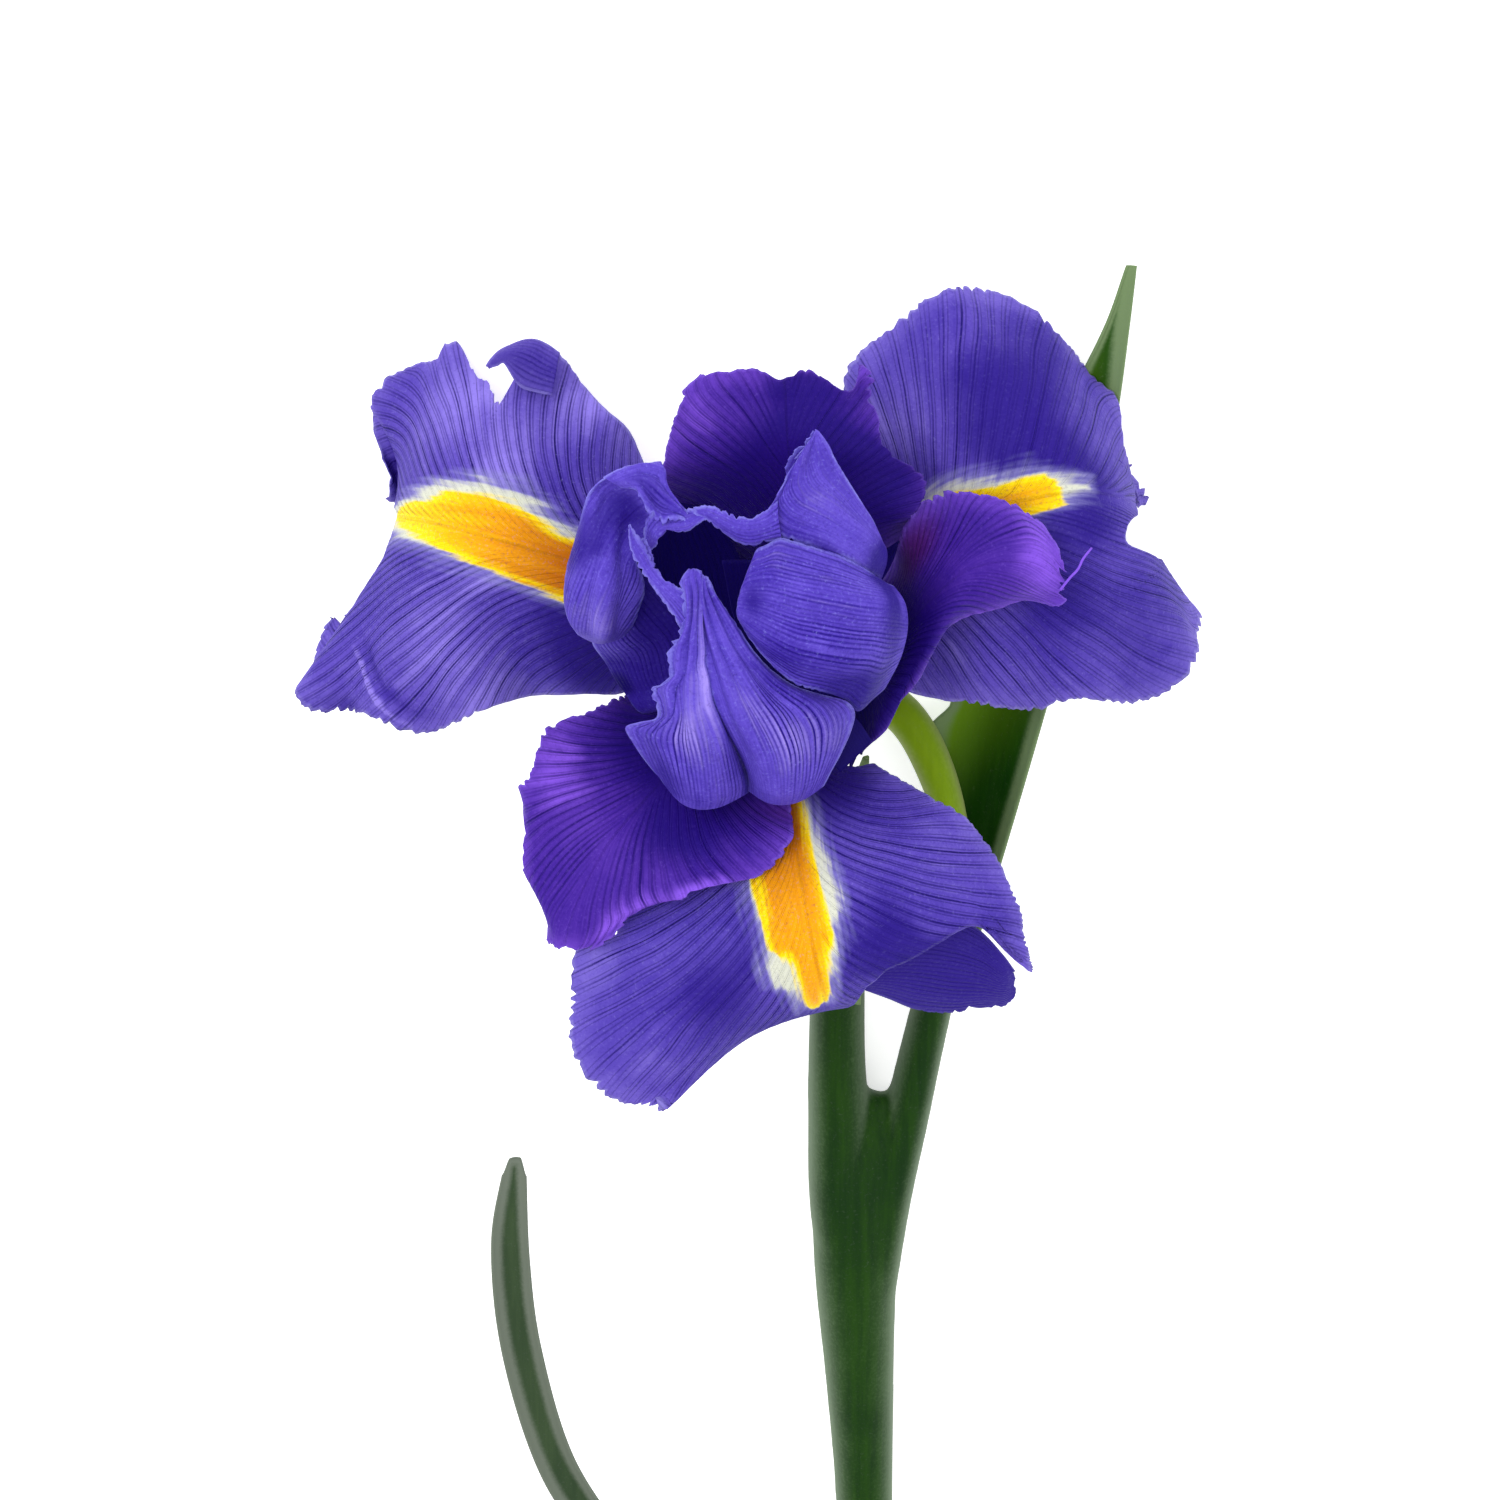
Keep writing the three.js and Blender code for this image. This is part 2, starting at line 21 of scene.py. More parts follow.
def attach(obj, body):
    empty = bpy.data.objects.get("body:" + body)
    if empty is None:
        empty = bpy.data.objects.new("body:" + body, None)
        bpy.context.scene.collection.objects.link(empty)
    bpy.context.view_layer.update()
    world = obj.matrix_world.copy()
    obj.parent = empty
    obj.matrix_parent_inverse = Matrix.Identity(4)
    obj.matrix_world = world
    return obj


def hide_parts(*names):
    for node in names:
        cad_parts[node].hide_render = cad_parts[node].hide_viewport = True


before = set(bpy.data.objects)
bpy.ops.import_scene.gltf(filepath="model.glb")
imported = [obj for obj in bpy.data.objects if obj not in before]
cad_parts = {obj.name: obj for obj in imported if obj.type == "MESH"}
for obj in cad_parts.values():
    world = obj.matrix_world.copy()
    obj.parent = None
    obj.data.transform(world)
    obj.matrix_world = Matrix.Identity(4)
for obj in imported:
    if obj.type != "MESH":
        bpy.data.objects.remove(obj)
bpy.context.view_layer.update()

logging.basicConfig(level=logging.INFO, format="%(message)s")
log = logging.getLogger("iris")

Array = npt.NDArray[np.float64]
Point = tuple[float, float, float]
Points = tuple[Point, ...]
Colour = tuple[float, float, float, float]

MM = 0.001
BODY = "root"

# From the table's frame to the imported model's, and how high and how far back the bloom leans.
SHIFT = np.array([0.2084, 84.7569, 0.0913])
BLOOM_HEIGHT = 44.0
BLOOM_LEAN = math.radians(25)
OVER_BLOOM = np.array([0.0, math.sin(BLOOM_LEAN), math.cos(BLOOM_LEAN)])

# The point that heights along the flower's axis are counted from, in the bloom's frame, and the
# tube and the column that stand on it.
AXIS_FOOT = np.array([1.3, 8.4, -36.0])
TUBE_RADIUS = 3.2
TUBE_HEIGHT = 6.0
COLUMN_RADIUS = 1.05
COLUMN_HEIGHT = 10.0

# How far out the middles of a petal's and a style arm's foot lie, clear of the tube and the column.
CLEARANCE = 0.4
HALF_PETAL = 0.35
HALF_STRAP = 0.375
PETAL_FOOT = TUBE_RADIUS + CLEARANCE + HALF_PETAL
STRAP_FOOT = COLUMN_RADIUS + CLEARANCE + HALF_STRAP

# What would dip into the table lies this high over it, and bends up to it this softly.
REST = 0.3
SOFT = 0.4

# South of this place on the model's y axis, the line that bounds a green piece's tint leans west.
TINT_NORTH = 84.0
TINT_SLOPE = 0.6

# The camera stands this far from the bloom's origin, on the bloom's own z axis.
CAMERA_DISTANCE = 463.0
CAMERA_LENS = 100.0
CAMERA_SENSOR = 36.0


def unit(vector: Array) -> Array:
    """The same direction with length 1, along the last axis."""
    return vector / np.maximum(np.linalg.norm(vector, axis=-1, keepdims=True), 1e-12)


AXIS = unit(np.array([-0.1025, 0.248, 0.963]))
ACROSS = unit(np.array([1.0, 0.0, 0.0]) - AXIS[0] * AXIS)
UPWARD = np.cross(AXIS, ACROSS)


def on_table(points: Array) -> Array:
    """Points of the table's frame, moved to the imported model's frame."""
    return points + SHIFT


def on_bloom(points: Array) -> Array:
    """Points of the bloom's frame, leant by a turn about x and lifted, in the model's frame."""
    x, y, z = np.moveaxis(points, -1, 0)
    sine, cosine = math.sin(BLOOM_LEAN), math.cos(BLOOM_LEAN)
    turned = np.stack([x, y * cosine + z * sine, z * cosine - y * sine + BLOOM_HEIGHT], axis=-1)
    return turned + SHIFT


def outward(turn: float) -> Array:
    """The direction away from the flower's axis at a turn about it, in degrees."""
    angle = math.radians(turn)
    return ACROSS * math.cos(angle) + UPWARD * math.sin(angle)


def at(turn: float, out: float, up: float) -> Array:
    """A point of the bloom by its turn, its distance from the axis and its height along it."""
    return AXIS_FOOT + AXIS * up + outward(turn) * out


def smooth(points: Array, t: Array) -> Array:
    """Points of the curve through given ones: each span is the cubic that passes its two ends
    with half the step between their neighbours as its slope, and runs straight past the ends.

    Args:
        points: the points to pass, one in a row.
        t: places along the curve, 0 at its first point and 1 at its last.

    Returns:
        One point for each place, with the shape of t and then the points' own size.
    """
    padded = np.concatenate([[2 * points[0] - points[1]], points, [2 * points[-1] - points[-2]]])
    spans = len(points) - 1
    inside = np.clip(t, 0.0, 1.0) * spans
    start = np.minimum(inside.astype(int), spans - 1)
    w = (inside - start)[..., None]
    p0, p1, p2, p3 = (padded[start + k] for k in range(4))
    a, b = (p2 - p0) / 2, (p3 - p1) / 2
    curve = p1 + w * (a + w * (3 * (p2 - p1) - 2 * a - b + w * (2 * (p1 - p2) + a + b)))
    slope = a + w * (2 * (3 * (p2 - p1) - 2 * a - b) + 3 * w * (2 * (p1 - p2) + a + b))
    return curve + slope * ((t - np.clip(t, 0.0, 1.0)) * spans)[..., None]


def bell(value: Array | float, middle: float, width: float) -> Array:
    """A bell-shaped weight: e to the minus square of the distance over the width."""
    return np.exp(-(((np.asarray(value) - middle) / width) ** 2))


def ease(value: Array, low: float, high: float) -> Array:
    """A smooth step from 0 at low to 1 at high."""
    t = np.clip((value - low) / (high - low), 0.0, 1.0)
    return t * t * (3 - 2 * t)


def fade_power(cut: Array, most: float) -> Array:
    """The power that a cut fades inwards with: 0.8 over the cut, less 1, and at most as given."""
    return np.clip(0.8 / np.maximum(cut, 0.01) - 1, 0.0, most)


@dataclass(frozen=True)
class Foot:
    """The narrow foot of a petal on the tube: distance out, height and half width by station.
    The shares place the rib and the two margins across that width."""

    turn: float
    stations: tuple[Point, ...]
    shares: Point = (0.0, -1.0, 1.0)

    def row(self, which: int) -> Array:
        """The stations' points on the rib (0), the left margin (1) or the right one (2)."""
        side = np.cross(outward(self.turn), AXIS)
        share = self.shares[which]
        return np.array([at(self.turn, out, up) + side * share * half
                         for out, up, half in self.stations])


@dataclass(frozen=True)
class Form:
    """A blade's rib and two margins, from its foot to its tip."""

    rib: Points
    left: Points
    right: Points
    foot: Foot | None = None

    def curve(self, which: int) -> Array:
        """All points of the rib (0), the left margin (1) or the right one (2)."""
        own = np.array((self.rib, self.left, self.right)[which], float)
        return own if self.foot is None else np.concatenate([self.foot.row(which), own])

    def surface(self, u: Array, v: Array) -> Array:
        """Each cross-section is the parabola through the rib at v 0 and the margins at v 1."""
        rib, left, right = (smooth(self.curve(which), u) for which in range(3))
        v = v[..., None]
        return rib * (1 - v * v) + left * (v * v - v) / 2 + right * (v * v + v) / 2


@dataclass(frozen=True)
class Hem:
    """How far a margin reaches past the form's own, in hundredths of the half width, at a few
    places along it. Side 0 is the blade's end, read from its left (-1) to its right (1), in
    hundredths of the length."""

    side: int
    reach: tuple[tuple[float, float], ...]

    def cut(self, place: Array) -> Array:
        """The same as a cut, which is the reach turned round. Between two named places it runs
        as a smooth step, and past the outer ones it stays level."""
        places, reaches = np.array(self.reach, float).T
        count = np.arange(len(places))
        index = np.interp(place, places, count)
        part = index % 1.0
        eased = index - part + part * part * (3 - 2 * part)
        return -np.interp(eased, count, reaches) / 100


@dataclass(frozen=True)
class Push:
    """Moves the surface round (u, v) by a vector that fades as a bell of the two widths."""

    u: float
    v: float
    wide_u: float
    wide_v: float
    move: Point


@dataclass(frozen=True)
class Crease:
    """A fold along a straight line from one (u, v) to another: a groove with a bell's profile, as wide as
    given in u and as deep as given in mm. A negative depth is a ridge. Its painted light paints a
    highlight along the fold (above 0) or painted shade (below 0)."""

    start: tuple[float, float]
    end: tuple[float, float]
    width: float
    depth: float
    # Painted highlight along the fold above 0, painted shade below 0.
    painted_light: float = 0.0

    def weight(self, u: Array, v: Array) -> Array:
        """How near to the line each point is, from 0 to 1, with v counted as half as far as u."""
        ahead = np.array([self.end[0] - self.start[0], (self.end[1] - self.start[1]) / 2])
        from_u, from_v = u - self.start[0], (v - self.start[1]) / 2
        share = np.clip((from_u * ahead[0] + from_v * ahead[1]) / (ahead @ ahead), 0.0, 1.0)
        away = np.hypot(from_u - share * ahead[0], from_v - share * ahead[1])
        return bell(away, 0.0, self.width) * bell(share, 0.5, 0.55)


@dataclass(frozen=True)
class Pleat:
    """Long waves across a blade: how many from margin to margin, their height in mm, the phase,
    and where they start and end along the blade."""

    count: float
    height: float
    phase: float = 0.0
    begin: float = 0.0
    end: float = 1.0

    def lift(self, u: Array, v: Array) -> Array:
        """A sine of the place across, faded in and out along the blade."""
        span = ease(u, self.begin, self.begin + 0.15) * (1 - ease(u, self.end - 0.15, self.end))
        return self.height * span * np.sin(math.pi * self.count * v + self.phase)


@dataclass(frozen=True)
class Patch:
    """A soft bell round (u, v): in a blade's patches, painted shade below 0 and painted light above 0,
    partly the skin's own deeper and paler colour; in its warmth, the skin's own warm tint.
    """

    u: float
    v: float
    wide_u: float
    wide_v: float
    amount: float

    def tone(self, u: Array, v: Array) -> Array:
        """The amount, fading away from the middle along the blade and across it."""
        return self.amount * bell(u, self.u, self.wide_u) * bell(v, self.v, self.wide_v)


@dataclass(frozen=True)
class Fan:
    """How veins run: how many there are along the rib, how far each runs on before it meets the
    left and the right margin, and the power that it bends with. Across is how many there are
    from the rib to a margin where they run along the blade. Raised is the height of the pleats
    between them."""

    count: float = 0.0
    spread: tuple[float, float] = (0.0, 0.0)
    power: float = 0.7
    across: float = 0.0
    raised: float = 0.04


@dataclass(frozen=True)
class Ruffle:
    """Waves along a margin: how many, their height in mm, their phase, how steeply they rise
    towards the margin, and where along the blade they begin."""

    count: float
    height: float
    phase: float
    rise: float = 3.0
    begin: float = 0.3

    def lift(self, u: Array, v: Array) -> Array:
        """A sine of the place along, in another phase on the other margin, that grows with a power
        of the place across and begins softly."""
        side = np.where(v > 0, 0.0, 2.0)
        wave = np.sin(2 * math.pi * self.count * u + self.phase + side)
        start = ease(u, self.begin, self.begin + 0.25)
        return self.height * np.abs(v) ** self.rise * start * wave


@dataclass(frozen=True)
class Stripe:
    """A stripe down a fall's middle, by the distance along it and its two borders across, all in
    mm. It ends bluntly at the last distance."""

    borders: Points

    def depth(self, along: Array, across: Array) -> Array:
        """How far inside the stripe a point is, in mm: the distance to the nearest border or to
        the end, and below 0 outside."""
        places, low, high = np.array(self.borders).T
        left = across - np.interp(along, places, low)
        right = np.interp(along, places, high) - across
        return np.minimum(np.minimum(left, right), places[-1] - along)


@dataclass(frozen=True)
class Blade:
    """A petal, crest, bract or leaf: a form with fine margins, ruffles and pleats, as a closed
    shell that thins from its thickness to its rim's.

    The teeth are given for the left margin, the right one and the end. Start is added to the
    place along the blade that its finish reads. Bloom tells whose frame its points are in: the
    bloom's or the table's.
    """

    form: Form
    rows: int
    columns: int
    fan: Fan
    thickness: float = 0.5
    rim: float = 0.16
    teeth_of: Point = (0.5, 0.5, 0.5)
    tooth_pitch: float = 1.9
    tooth_from: float = 0.35
    hems: tuple[Hem, ...] = ()
    ruffles: tuple[Ruffle, ...] = ()
    pleats: tuple[Pleat, ...] = ()
    creases: tuple[Crease, ...] = ()
    pushes: tuple[Push, ...] = ()
    # Patches are painted shade (below 0) and painted light (above 0), partly the skin's own deeper and
    # paler colour; warmth is the skin's own warm tint.
    patches: tuple[Patch, ...] = ()
    warmth: tuple[Patch, ...] = ()
    signal: Stripe | None = None
    cream: Stripe | None = None
    start: float = 0.0
    bloom: bool = True

    def places(self) -> Array:
        """Places along the blade that stand evenly apart on its rib and margins taken together,
        found by adding up their lengths and reading the sum backwards."""
        fine = np.linspace(0, 1, 600)
        steps = [np.linalg.norm(np.diff(smooth(self.form.curve(which), fine), axis=0), axis=1)
                 for which in range(3)]
        length = np.concatenate([[0], np.cumsum(np.sum(steps, axis=0))])
        return np.interp(np.linspace(0, length[-1], self.rows + 1), length, fine)

    def teeth(self, distance: Array, phase: float) -> Array:
        """Irregular teeth along a margin by the distance along it in mm: the absolute value of a
        sine whose own phase wanders, taken down to a power, times a slow swell. Their mean is
        taken off, so that they cut in and stand out alike."""
        turn = math.pi * distance / self.tooth_pitch
        wander = 1.3 * np.sin(0.23 * turn + phase) + 0.8 * np.sin(0.61 * turn + 2.1 * phase)
        shape = 1 - np.abs(np.sin(turn + wander + phase)) ** 0.8
        swell = 0.62 + 0.38 * np.sin(0.37 * turn + 1.7 * phase)
        fine = 0.22 * np.abs(np.sin(2.7 * turn + 3 * wander))
        return shape * swell + fine - 0.33

    def cuts(self, place: Array, edge: Array, side: int, phase: float) -> tuple[Array, Array]:
        """How far one margin or the end is cut in: its teeth in mm and its hem's own share.

        Args:
            place: places along the margin, in a row or a column.
            edge: the margin's points at those places.
            side: -1 or 1 for a margin, 0 for the end.
            phase: where the teeth's sines start.

        Returns:
            The teeth and the hem's share, with the shape of the places.
        """
        steps = np.linalg.norm(np.diff(edge, axis=0), axis=1)
        distance = np.concatenate([[0], np.cumsum(steps)]).reshape(place.shape)
        hem = sum((hem.cut(place) for hem in self.hems if hem.side == side), np.zeros(place.shape))
        return self.teeth(distance, phase) * self.teeth_of[(-1, 1, 0).index(side)], hem

    def outline(self, u: Array, v: Array) -> tuple[Array, Array]:
        """Moves grid places so that the margins and the end get their reach and teeth. The outer
        part of the grid moves most: a place across is scaled by 1 less the cut times its own
        power, which is 4 for a shallow cut and falls for a deep one, so that rows never cross."""
        middle = self.form.surface(u[:, :1], np.zeros_like(u[:, :1]))
        moved_v = v
        for side in (-1, 1):
            edge = self.form.surface(u[:, :1], np.full_like(u[:, :1], side))
            half = np.maximum(np.linalg.norm(edge - middle, axis=-1), 0.8)
            teeth, hem = self.cuts(u[:, :1], edge[:, 0], side, 1.0 + side)
            cut = teeth / half * ease(u[:, :1], self.tooth_from, self.tooth_from + 0.15) + hem
            moved_v = np.where(v * side > 0, v * (1 - cut * np.abs(v) ** fade_power(cut, 4.0)),
                               moved_v)
        end = self.form.surface(np.ones_like(v[-1:]), v[-1:])[0]
        rib_length = np.linalg.norm(np.diff(middle[:, 0], axis=0), axis=1).sum()
        teeth, hem = self.cuts(v[-1:], end, 0, 0.4)
        cut = teeth / rib_length + hem
        moved_u = u * (1 - cut * u ** fade_power(cut, 12.0))
        return moved_u, moved_v

    def vein_phase(self, u: Array, v: Array) -> Array:
        """The vein's number at each point: constant along a vein, which leaves the rib at a
        place and gains on it with a power of the distance across."""
        fan = self.fan
        wobble = 0.010 * np.sin(3.1 * v + 5.0 * u) + 0.006 * np.sin(5.3 * v - 7.1 * u)
        spread = np.where(v > 0, fan.spread[1], fan.spread[0])
        fanned = fan.count * (u - spread * np.abs(v) ** fan.power) + fan.across * v
        strays = (abs(fan.count) + abs(fan.across)) * wobble
        return fanned + strays + 37 * (v > 0) * (fan.across == 0)

    def lift(self, u: Array, v: Array, along: Array, phase: Array, pitch: Array) -> Array:
        """How far the surface rises along its normal, in mm: ruffles, pleats and creases, and a low
        rounded ridge between each two veins, past the foot and where they aren't too close.

        Args:
            u: places along the blade, 0 to 1.
            v: places across it, -1 to 1.
            along: distances along its rib in mm.
            phase: the vein's number at each point.
            pitch: how far apart the veins are there, in mm.

        Returns:
            The rise at each point.
        """
        lift = np.zeros_like(u)
        for wave in (*self.ruffles, *self.pleats):
            lift += wave.lift(u, v)
        for crease in self.creases:
            lift -= crease.depth * crease.weight(u, v)
        off_vein = np.abs(phase % 1.0 - 0.5) * pitch
        ridge = 1 - np.exp(-((off_vein / 0.3) ** 2))
        return lift + self.fan.raised * ridge * ease(along, 8.0, 16.0) * ease(pitch, 0.25, 0.7)

    def grid(self) -> tuple[Array, dict[str, Array]]:
        """The middle surface of the shell, in mm in its own frame, and what its finish reads.

        Returns:
            The surface's points by row and column, and vectors of the same layout: place
            (along, across and from the margin, in mm), fan (vein, pitch, signal) and tone
            (shade, cream, warmth).
        """
        across = np.linspace(-1, 1, self.columns + 1)
        u, v = np.meshgrid(self.places(), across, indexing="ij")
        fine_u, fine_v = self.outline(u, v)
        points = self.form.surface(fine_u, fine_v)
        normal = surface_normal(points)
        length = np.concatenate([[0], np.cumsum(np.linalg.norm(
            np.diff(self.form.surface(u[:, 0], np.zeros(len(u))), axis=0), axis=1))])
        along = np.interp(fine_u, u[:, 0], length)
        left, right = (self.form.surface(u[:, :1], np.full_like(u[:, :1], side))
                       for side in (-1, 1))
        half = np.maximum(np.linalg.norm(right - left, axis=-1) / 2, 0.5)
        distance_across = fine_v * half
        phase = self.vein_phase(fine_u, fine_v)
        gaps = [np.gradient(phase, axis=k) / np.maximum(
            np.linalg.norm(np.gradient(points, axis=k), axis=-1), 1e-3) for k in range(2)]
        pitch = 1 / np.maximum(np.hypot(*gaps), 0.05)
        points = points + normal * self.lift(fine_u, fine_v, along, phase, pitch)[..., None]
        for push in self.pushes:
            weight = bell(fine_u, push.u, push.wide_u) * bell(fine_v, push.v, push.wide_v)
            points = points + weight[..., None] * np.array(push.move)
        # Painted shade and painted light from the patches and the creases, partly the skin's own colour,
        # and the skin's own warm tint.
        shade, warm = (sum((patch.tone(fine_u, fine_v) for patch in patches), np.zeros_like(u))
                       for patches in (self.patches, self.warmth))
        for crease in self.creases:
            shade = shade + crease.painted_light * crease.weight(fine_u, fine_v)
        margin = np.minimum((1 - np.abs(v)) * half, (1 - u) * length[-1])
        signal, cream = (np.full_like(u, -50.0) if stripe is None
                         else stripe.depth(along, distance_across)
                         for stripe in (self.signal, self.cream))
        layers = {
            "place": np.stack([along + self.start, distance_across, margin], axis=-1),
            "fan": np.stack([phase, pitch, signal], axis=-1),
            "tone": np.stack([shade, cream, warm], axis=-1),
        }
        return points, layers

    def mesh(self) -> Mesh:
        """The closed shell in the model's frame, in mm. What would dip into the table lies on
        it: a height is a soft greater of itself and the resting height."""
        points, layers = self.grid()
        points = on_bloom(points) if self.bloom else on_table(points)
        points[..., 2] = REST + SOFT * np.logaddexp(0.0, (points[..., 2] - REST) / SOFT)
        margin = layers["place"][..., 2]
        wall = self.rim + (self.thickness - self.rim) * ease(margin, 0.0, 3.0)
        return shell(points, wall, layers)


@dataclass
class Mesh:
    """Points in mm, faces of four corners, and a vector of each layer for every point."""

    points: Array
    faces: npt.NDArray[np.int64]
    layers: dict[str, Array] = field(default_factory=dict)

    def object(self, name: str, finish: bpy.types.Material) -> bpy.types.Object:
        """A Blender object of this mesh, in metres, smooth and with its layers and material."""
        mesh = bpy.data.meshes.new(name)
        mesh.from_pydata((self.points * MM).tolist(), [], self.faces.tolist())
        for layer, rows in self.layers.items():
            attribute = mesh.attributes.new(layer, "FLOAT_VECTOR", "POINT")
            attribute.data.foreach_set("vector", rows.astype(np.float32).ravel())
        mesh.shade_smooth()
        mesh.materials.append(finish)
        piece = bpy.data.objects.new(name, mesh)
        bpy.context.scene.collection.objects.link(piece)
        return piece


def join(*meshes: Mesh) -> Mesh:
    """Several meshes as one, in their order."""
    starts = np.cumsum([0, *(len(mesh.points) for mesh in meshes[:-1])])
    return Mesh(
        np.concatenate([mesh.points for mesh in meshes]),
        np.concatenate([mesh.faces + start for mesh, start in zip(meshes, starts)]),
        {name: np.concatenate([mesh.layers[name] for mesh in meshes])
         for name in meshes[0].layers},
    )


def surface_normal(points: Array) -> Array:
    """The unit normal of a grid of points: the step across, crossed with the step along."""
    along = np.gradient(points, axis=0)
    over = np.gradient(points, axis=1)
    return unit(np.cross(over, along))


def shell(points: Array, wall: Array, layers: dict[str, Array]) -> Mesh:
    """A closed shell about a grid of points: one face lies half the wall above it along its
    normal, the other half below, and a strip joins them round the rim.

    Args:
        points: the middle surface by row and column.
        wall: its thickness at each point.
        layers: vectors at each point, kept on both faces.

    Returns:
        The shell, with its faces outwards.
    """
    rows, columns = wall.shape
    offset = surface_normal(points) * wall[..., None] / 2
    both = np.concatenate([(points + offset).reshape(-1, 3), (points - offset).reshape(-1, 3)])
    index = np.arange(rows * columns).reshape(rows, columns)
    top = np.stack([index[:-1, :-1], index[:-1, 1:], index[1:, 1:], index[1:, :-1]], axis=-1)
    top = top.reshape(-1, 4)
    under = rows * columns
    rim = np.concatenate([index[0, :-1], index[:-1, -1], index[-1, :0:-1], index[:0:-1, 0]])
    after = np.roll(rim, -1)
    band = np.stack([after, rim, rim + under, after + under], axis=-1)
    faces = np.concatenate([top, top[:, ::-1] + under, band])
    doubled = {name: np.tile(layer.reshape(-1, 3), (2, 1)) for name, layer in layers.items()}
    return Mesh(both, faces, doubled)


# A dome's height, as a share of its tube's half width, and its rings.
DOME = 0.8
DOME_RINGS = 6


def tube(stations: Array, rings: int, sides: int, rounded: tuple[bool, bool]) -> Mesh:
    """A closed tube through stations: each ring is an ellipse square to the line, as wide and as
    tall as the station says, and an end closes to its middle, by a dome where it is rounded.

    Args:
        stations: rows of x, y, z, half width and half height.
        rings: steps along it.
        sides: corners of a ring.
        rounded: whether the first and the last end are domes.

    Returns:
        The tube, with its faces outwards and no layers.
    """
    t = np.linspace(0, 1, rings + 1)
    line = smooth(stations[:, :3], t)
    size = smooth(stations[:, 3:5], t)
    ahead = unit(smooth(stations[:, :3], t + 0.01) - smooth(stations[:, :3], t - 0.01))
    side = unit(np.cross(ahead, np.array([0.0, 0.0, 1.0])))
    top = np.cross(side, ahead)
    profile = list(zip(line, size, side, top))
    for end, is_round in ((0, rounded[0]), (-1, rounded[1])):
        base, (wide, tall), across, over = profile[end]
        sign = -1.0 if end == 0 else 1.0
        turns = np.linspace(0, math.pi / 2, DOME_RINGS + 1)[1:] if is_round else [math.pi / 2]
        caps = []
        for turn in turns:
            shrink = max(math.cos(turn), 1e-3)
            forward = ahead[end] * sign * math.sin(turn) * min(wide, tall) * (DOME * is_round)
            caps.append((base + forward, (wide * shrink, tall * shrink), across, over))
        profile = caps[::-1] + profile if end == 0 else profile + caps
    angle = np.linspace(0, 2 * math.pi, sides, endpoint=False)[:, None]
    ring = np.stack([middle + wide * np.cos(angle) * across + tall * np.sin(angle) * over
                     for middle, (wide, tall), across, over in profile])
    index = np.arange(ring.shape[0] * sides).reshape(-1, sides)
    following = np.roll(index, -1, axis=1)
    faces = np.stack([index[:-1], following[:-1], following[1:], index[1:]], axis=-1)
    return Mesh(ring.reshape(-1, 3), faces.reshape(-1, 4)[:, ::-1])


def srgb(red: float, green: float, blue: float) -> Colour:
    """A colour of a screen's 0 to 255 steps as light: the usual power curve of screens."""
    steps = np.array([red, green, blue]) / 255
    light = np.where(steps <= 0.04045, steps / 12.92, ((steps + 0.055) / 1.055) ** 2.4)
    return (float(light[0]), float(light[1]), float(light[2]), 1.0)


@dataclass(frozen=True)
class Value:
    """A number in a shader: a node's output, which Python's operators add Math nodes to."""

    tree: bpy.types.NodeTree
    socket: bpy.types.NodeSocket

    def math(self, operation: str, *others: Value | float, flipped: bool = False) -> Value:
        """A Math node on this value and others, in the other order where flipped."""
        node = self.tree.nodes.new("ShaderNodeMath")
        node.operation = operation
        terms = [self, *others][::-1] if flipped else [self, *others]
        for place, term in enumerate(terms):
            if isinstance(term, Value):
                self.tree.links.new(term.socket, node.inputs[place])
            else:
                node.inputs[place].default_value = term
        return Value(self.tree, node.outputs[0])

    def __add__(self, other: Value | float) -> Value:
        """The sum."""
        return self.math("ADD", other)

    __radd__ = __add__

    def __sub__(self, other: Value | float) -> Value:
        """The difference."""
        return self.math("SUBTRACT", other)

    def __rsub__(self, other: float) -> Value:
        """The difference from a plain number."""
        return self.math("SUBTRACT", other, flipped=True)

    def __mul__(self, other: Value | float) -> Value:
        """The product."""
        return self.math("MULTIPLY", other)

    __rmul__ = __mul__

    def __abs__(self) -> Value:
        """The size without its sign."""
        return self.math("ABSOLUTE")

    def __mod__(self, other: float) -> Value:
        """The rest after whole steps, never below 0."""
        return self.math("FLOORED_MODULO", other)

    def step(self, low: float, high: float) -> Value:
        """A smooth step from 0 where this is low to 1 where it is high."""
        node = self.tree.nodes.new("ShaderNodeMapRange")
        node.interpolation_type = "SMOOTHSTEP"
        node.inputs["From Min"].default_value = low
        node.inputs["From Max"].default_value = high
        self.tree.links.new(self.socket, node.inputs["Value"])
        return Value(self.tree, node.outputs["Result"])


Link = Value | float | Colour | Point


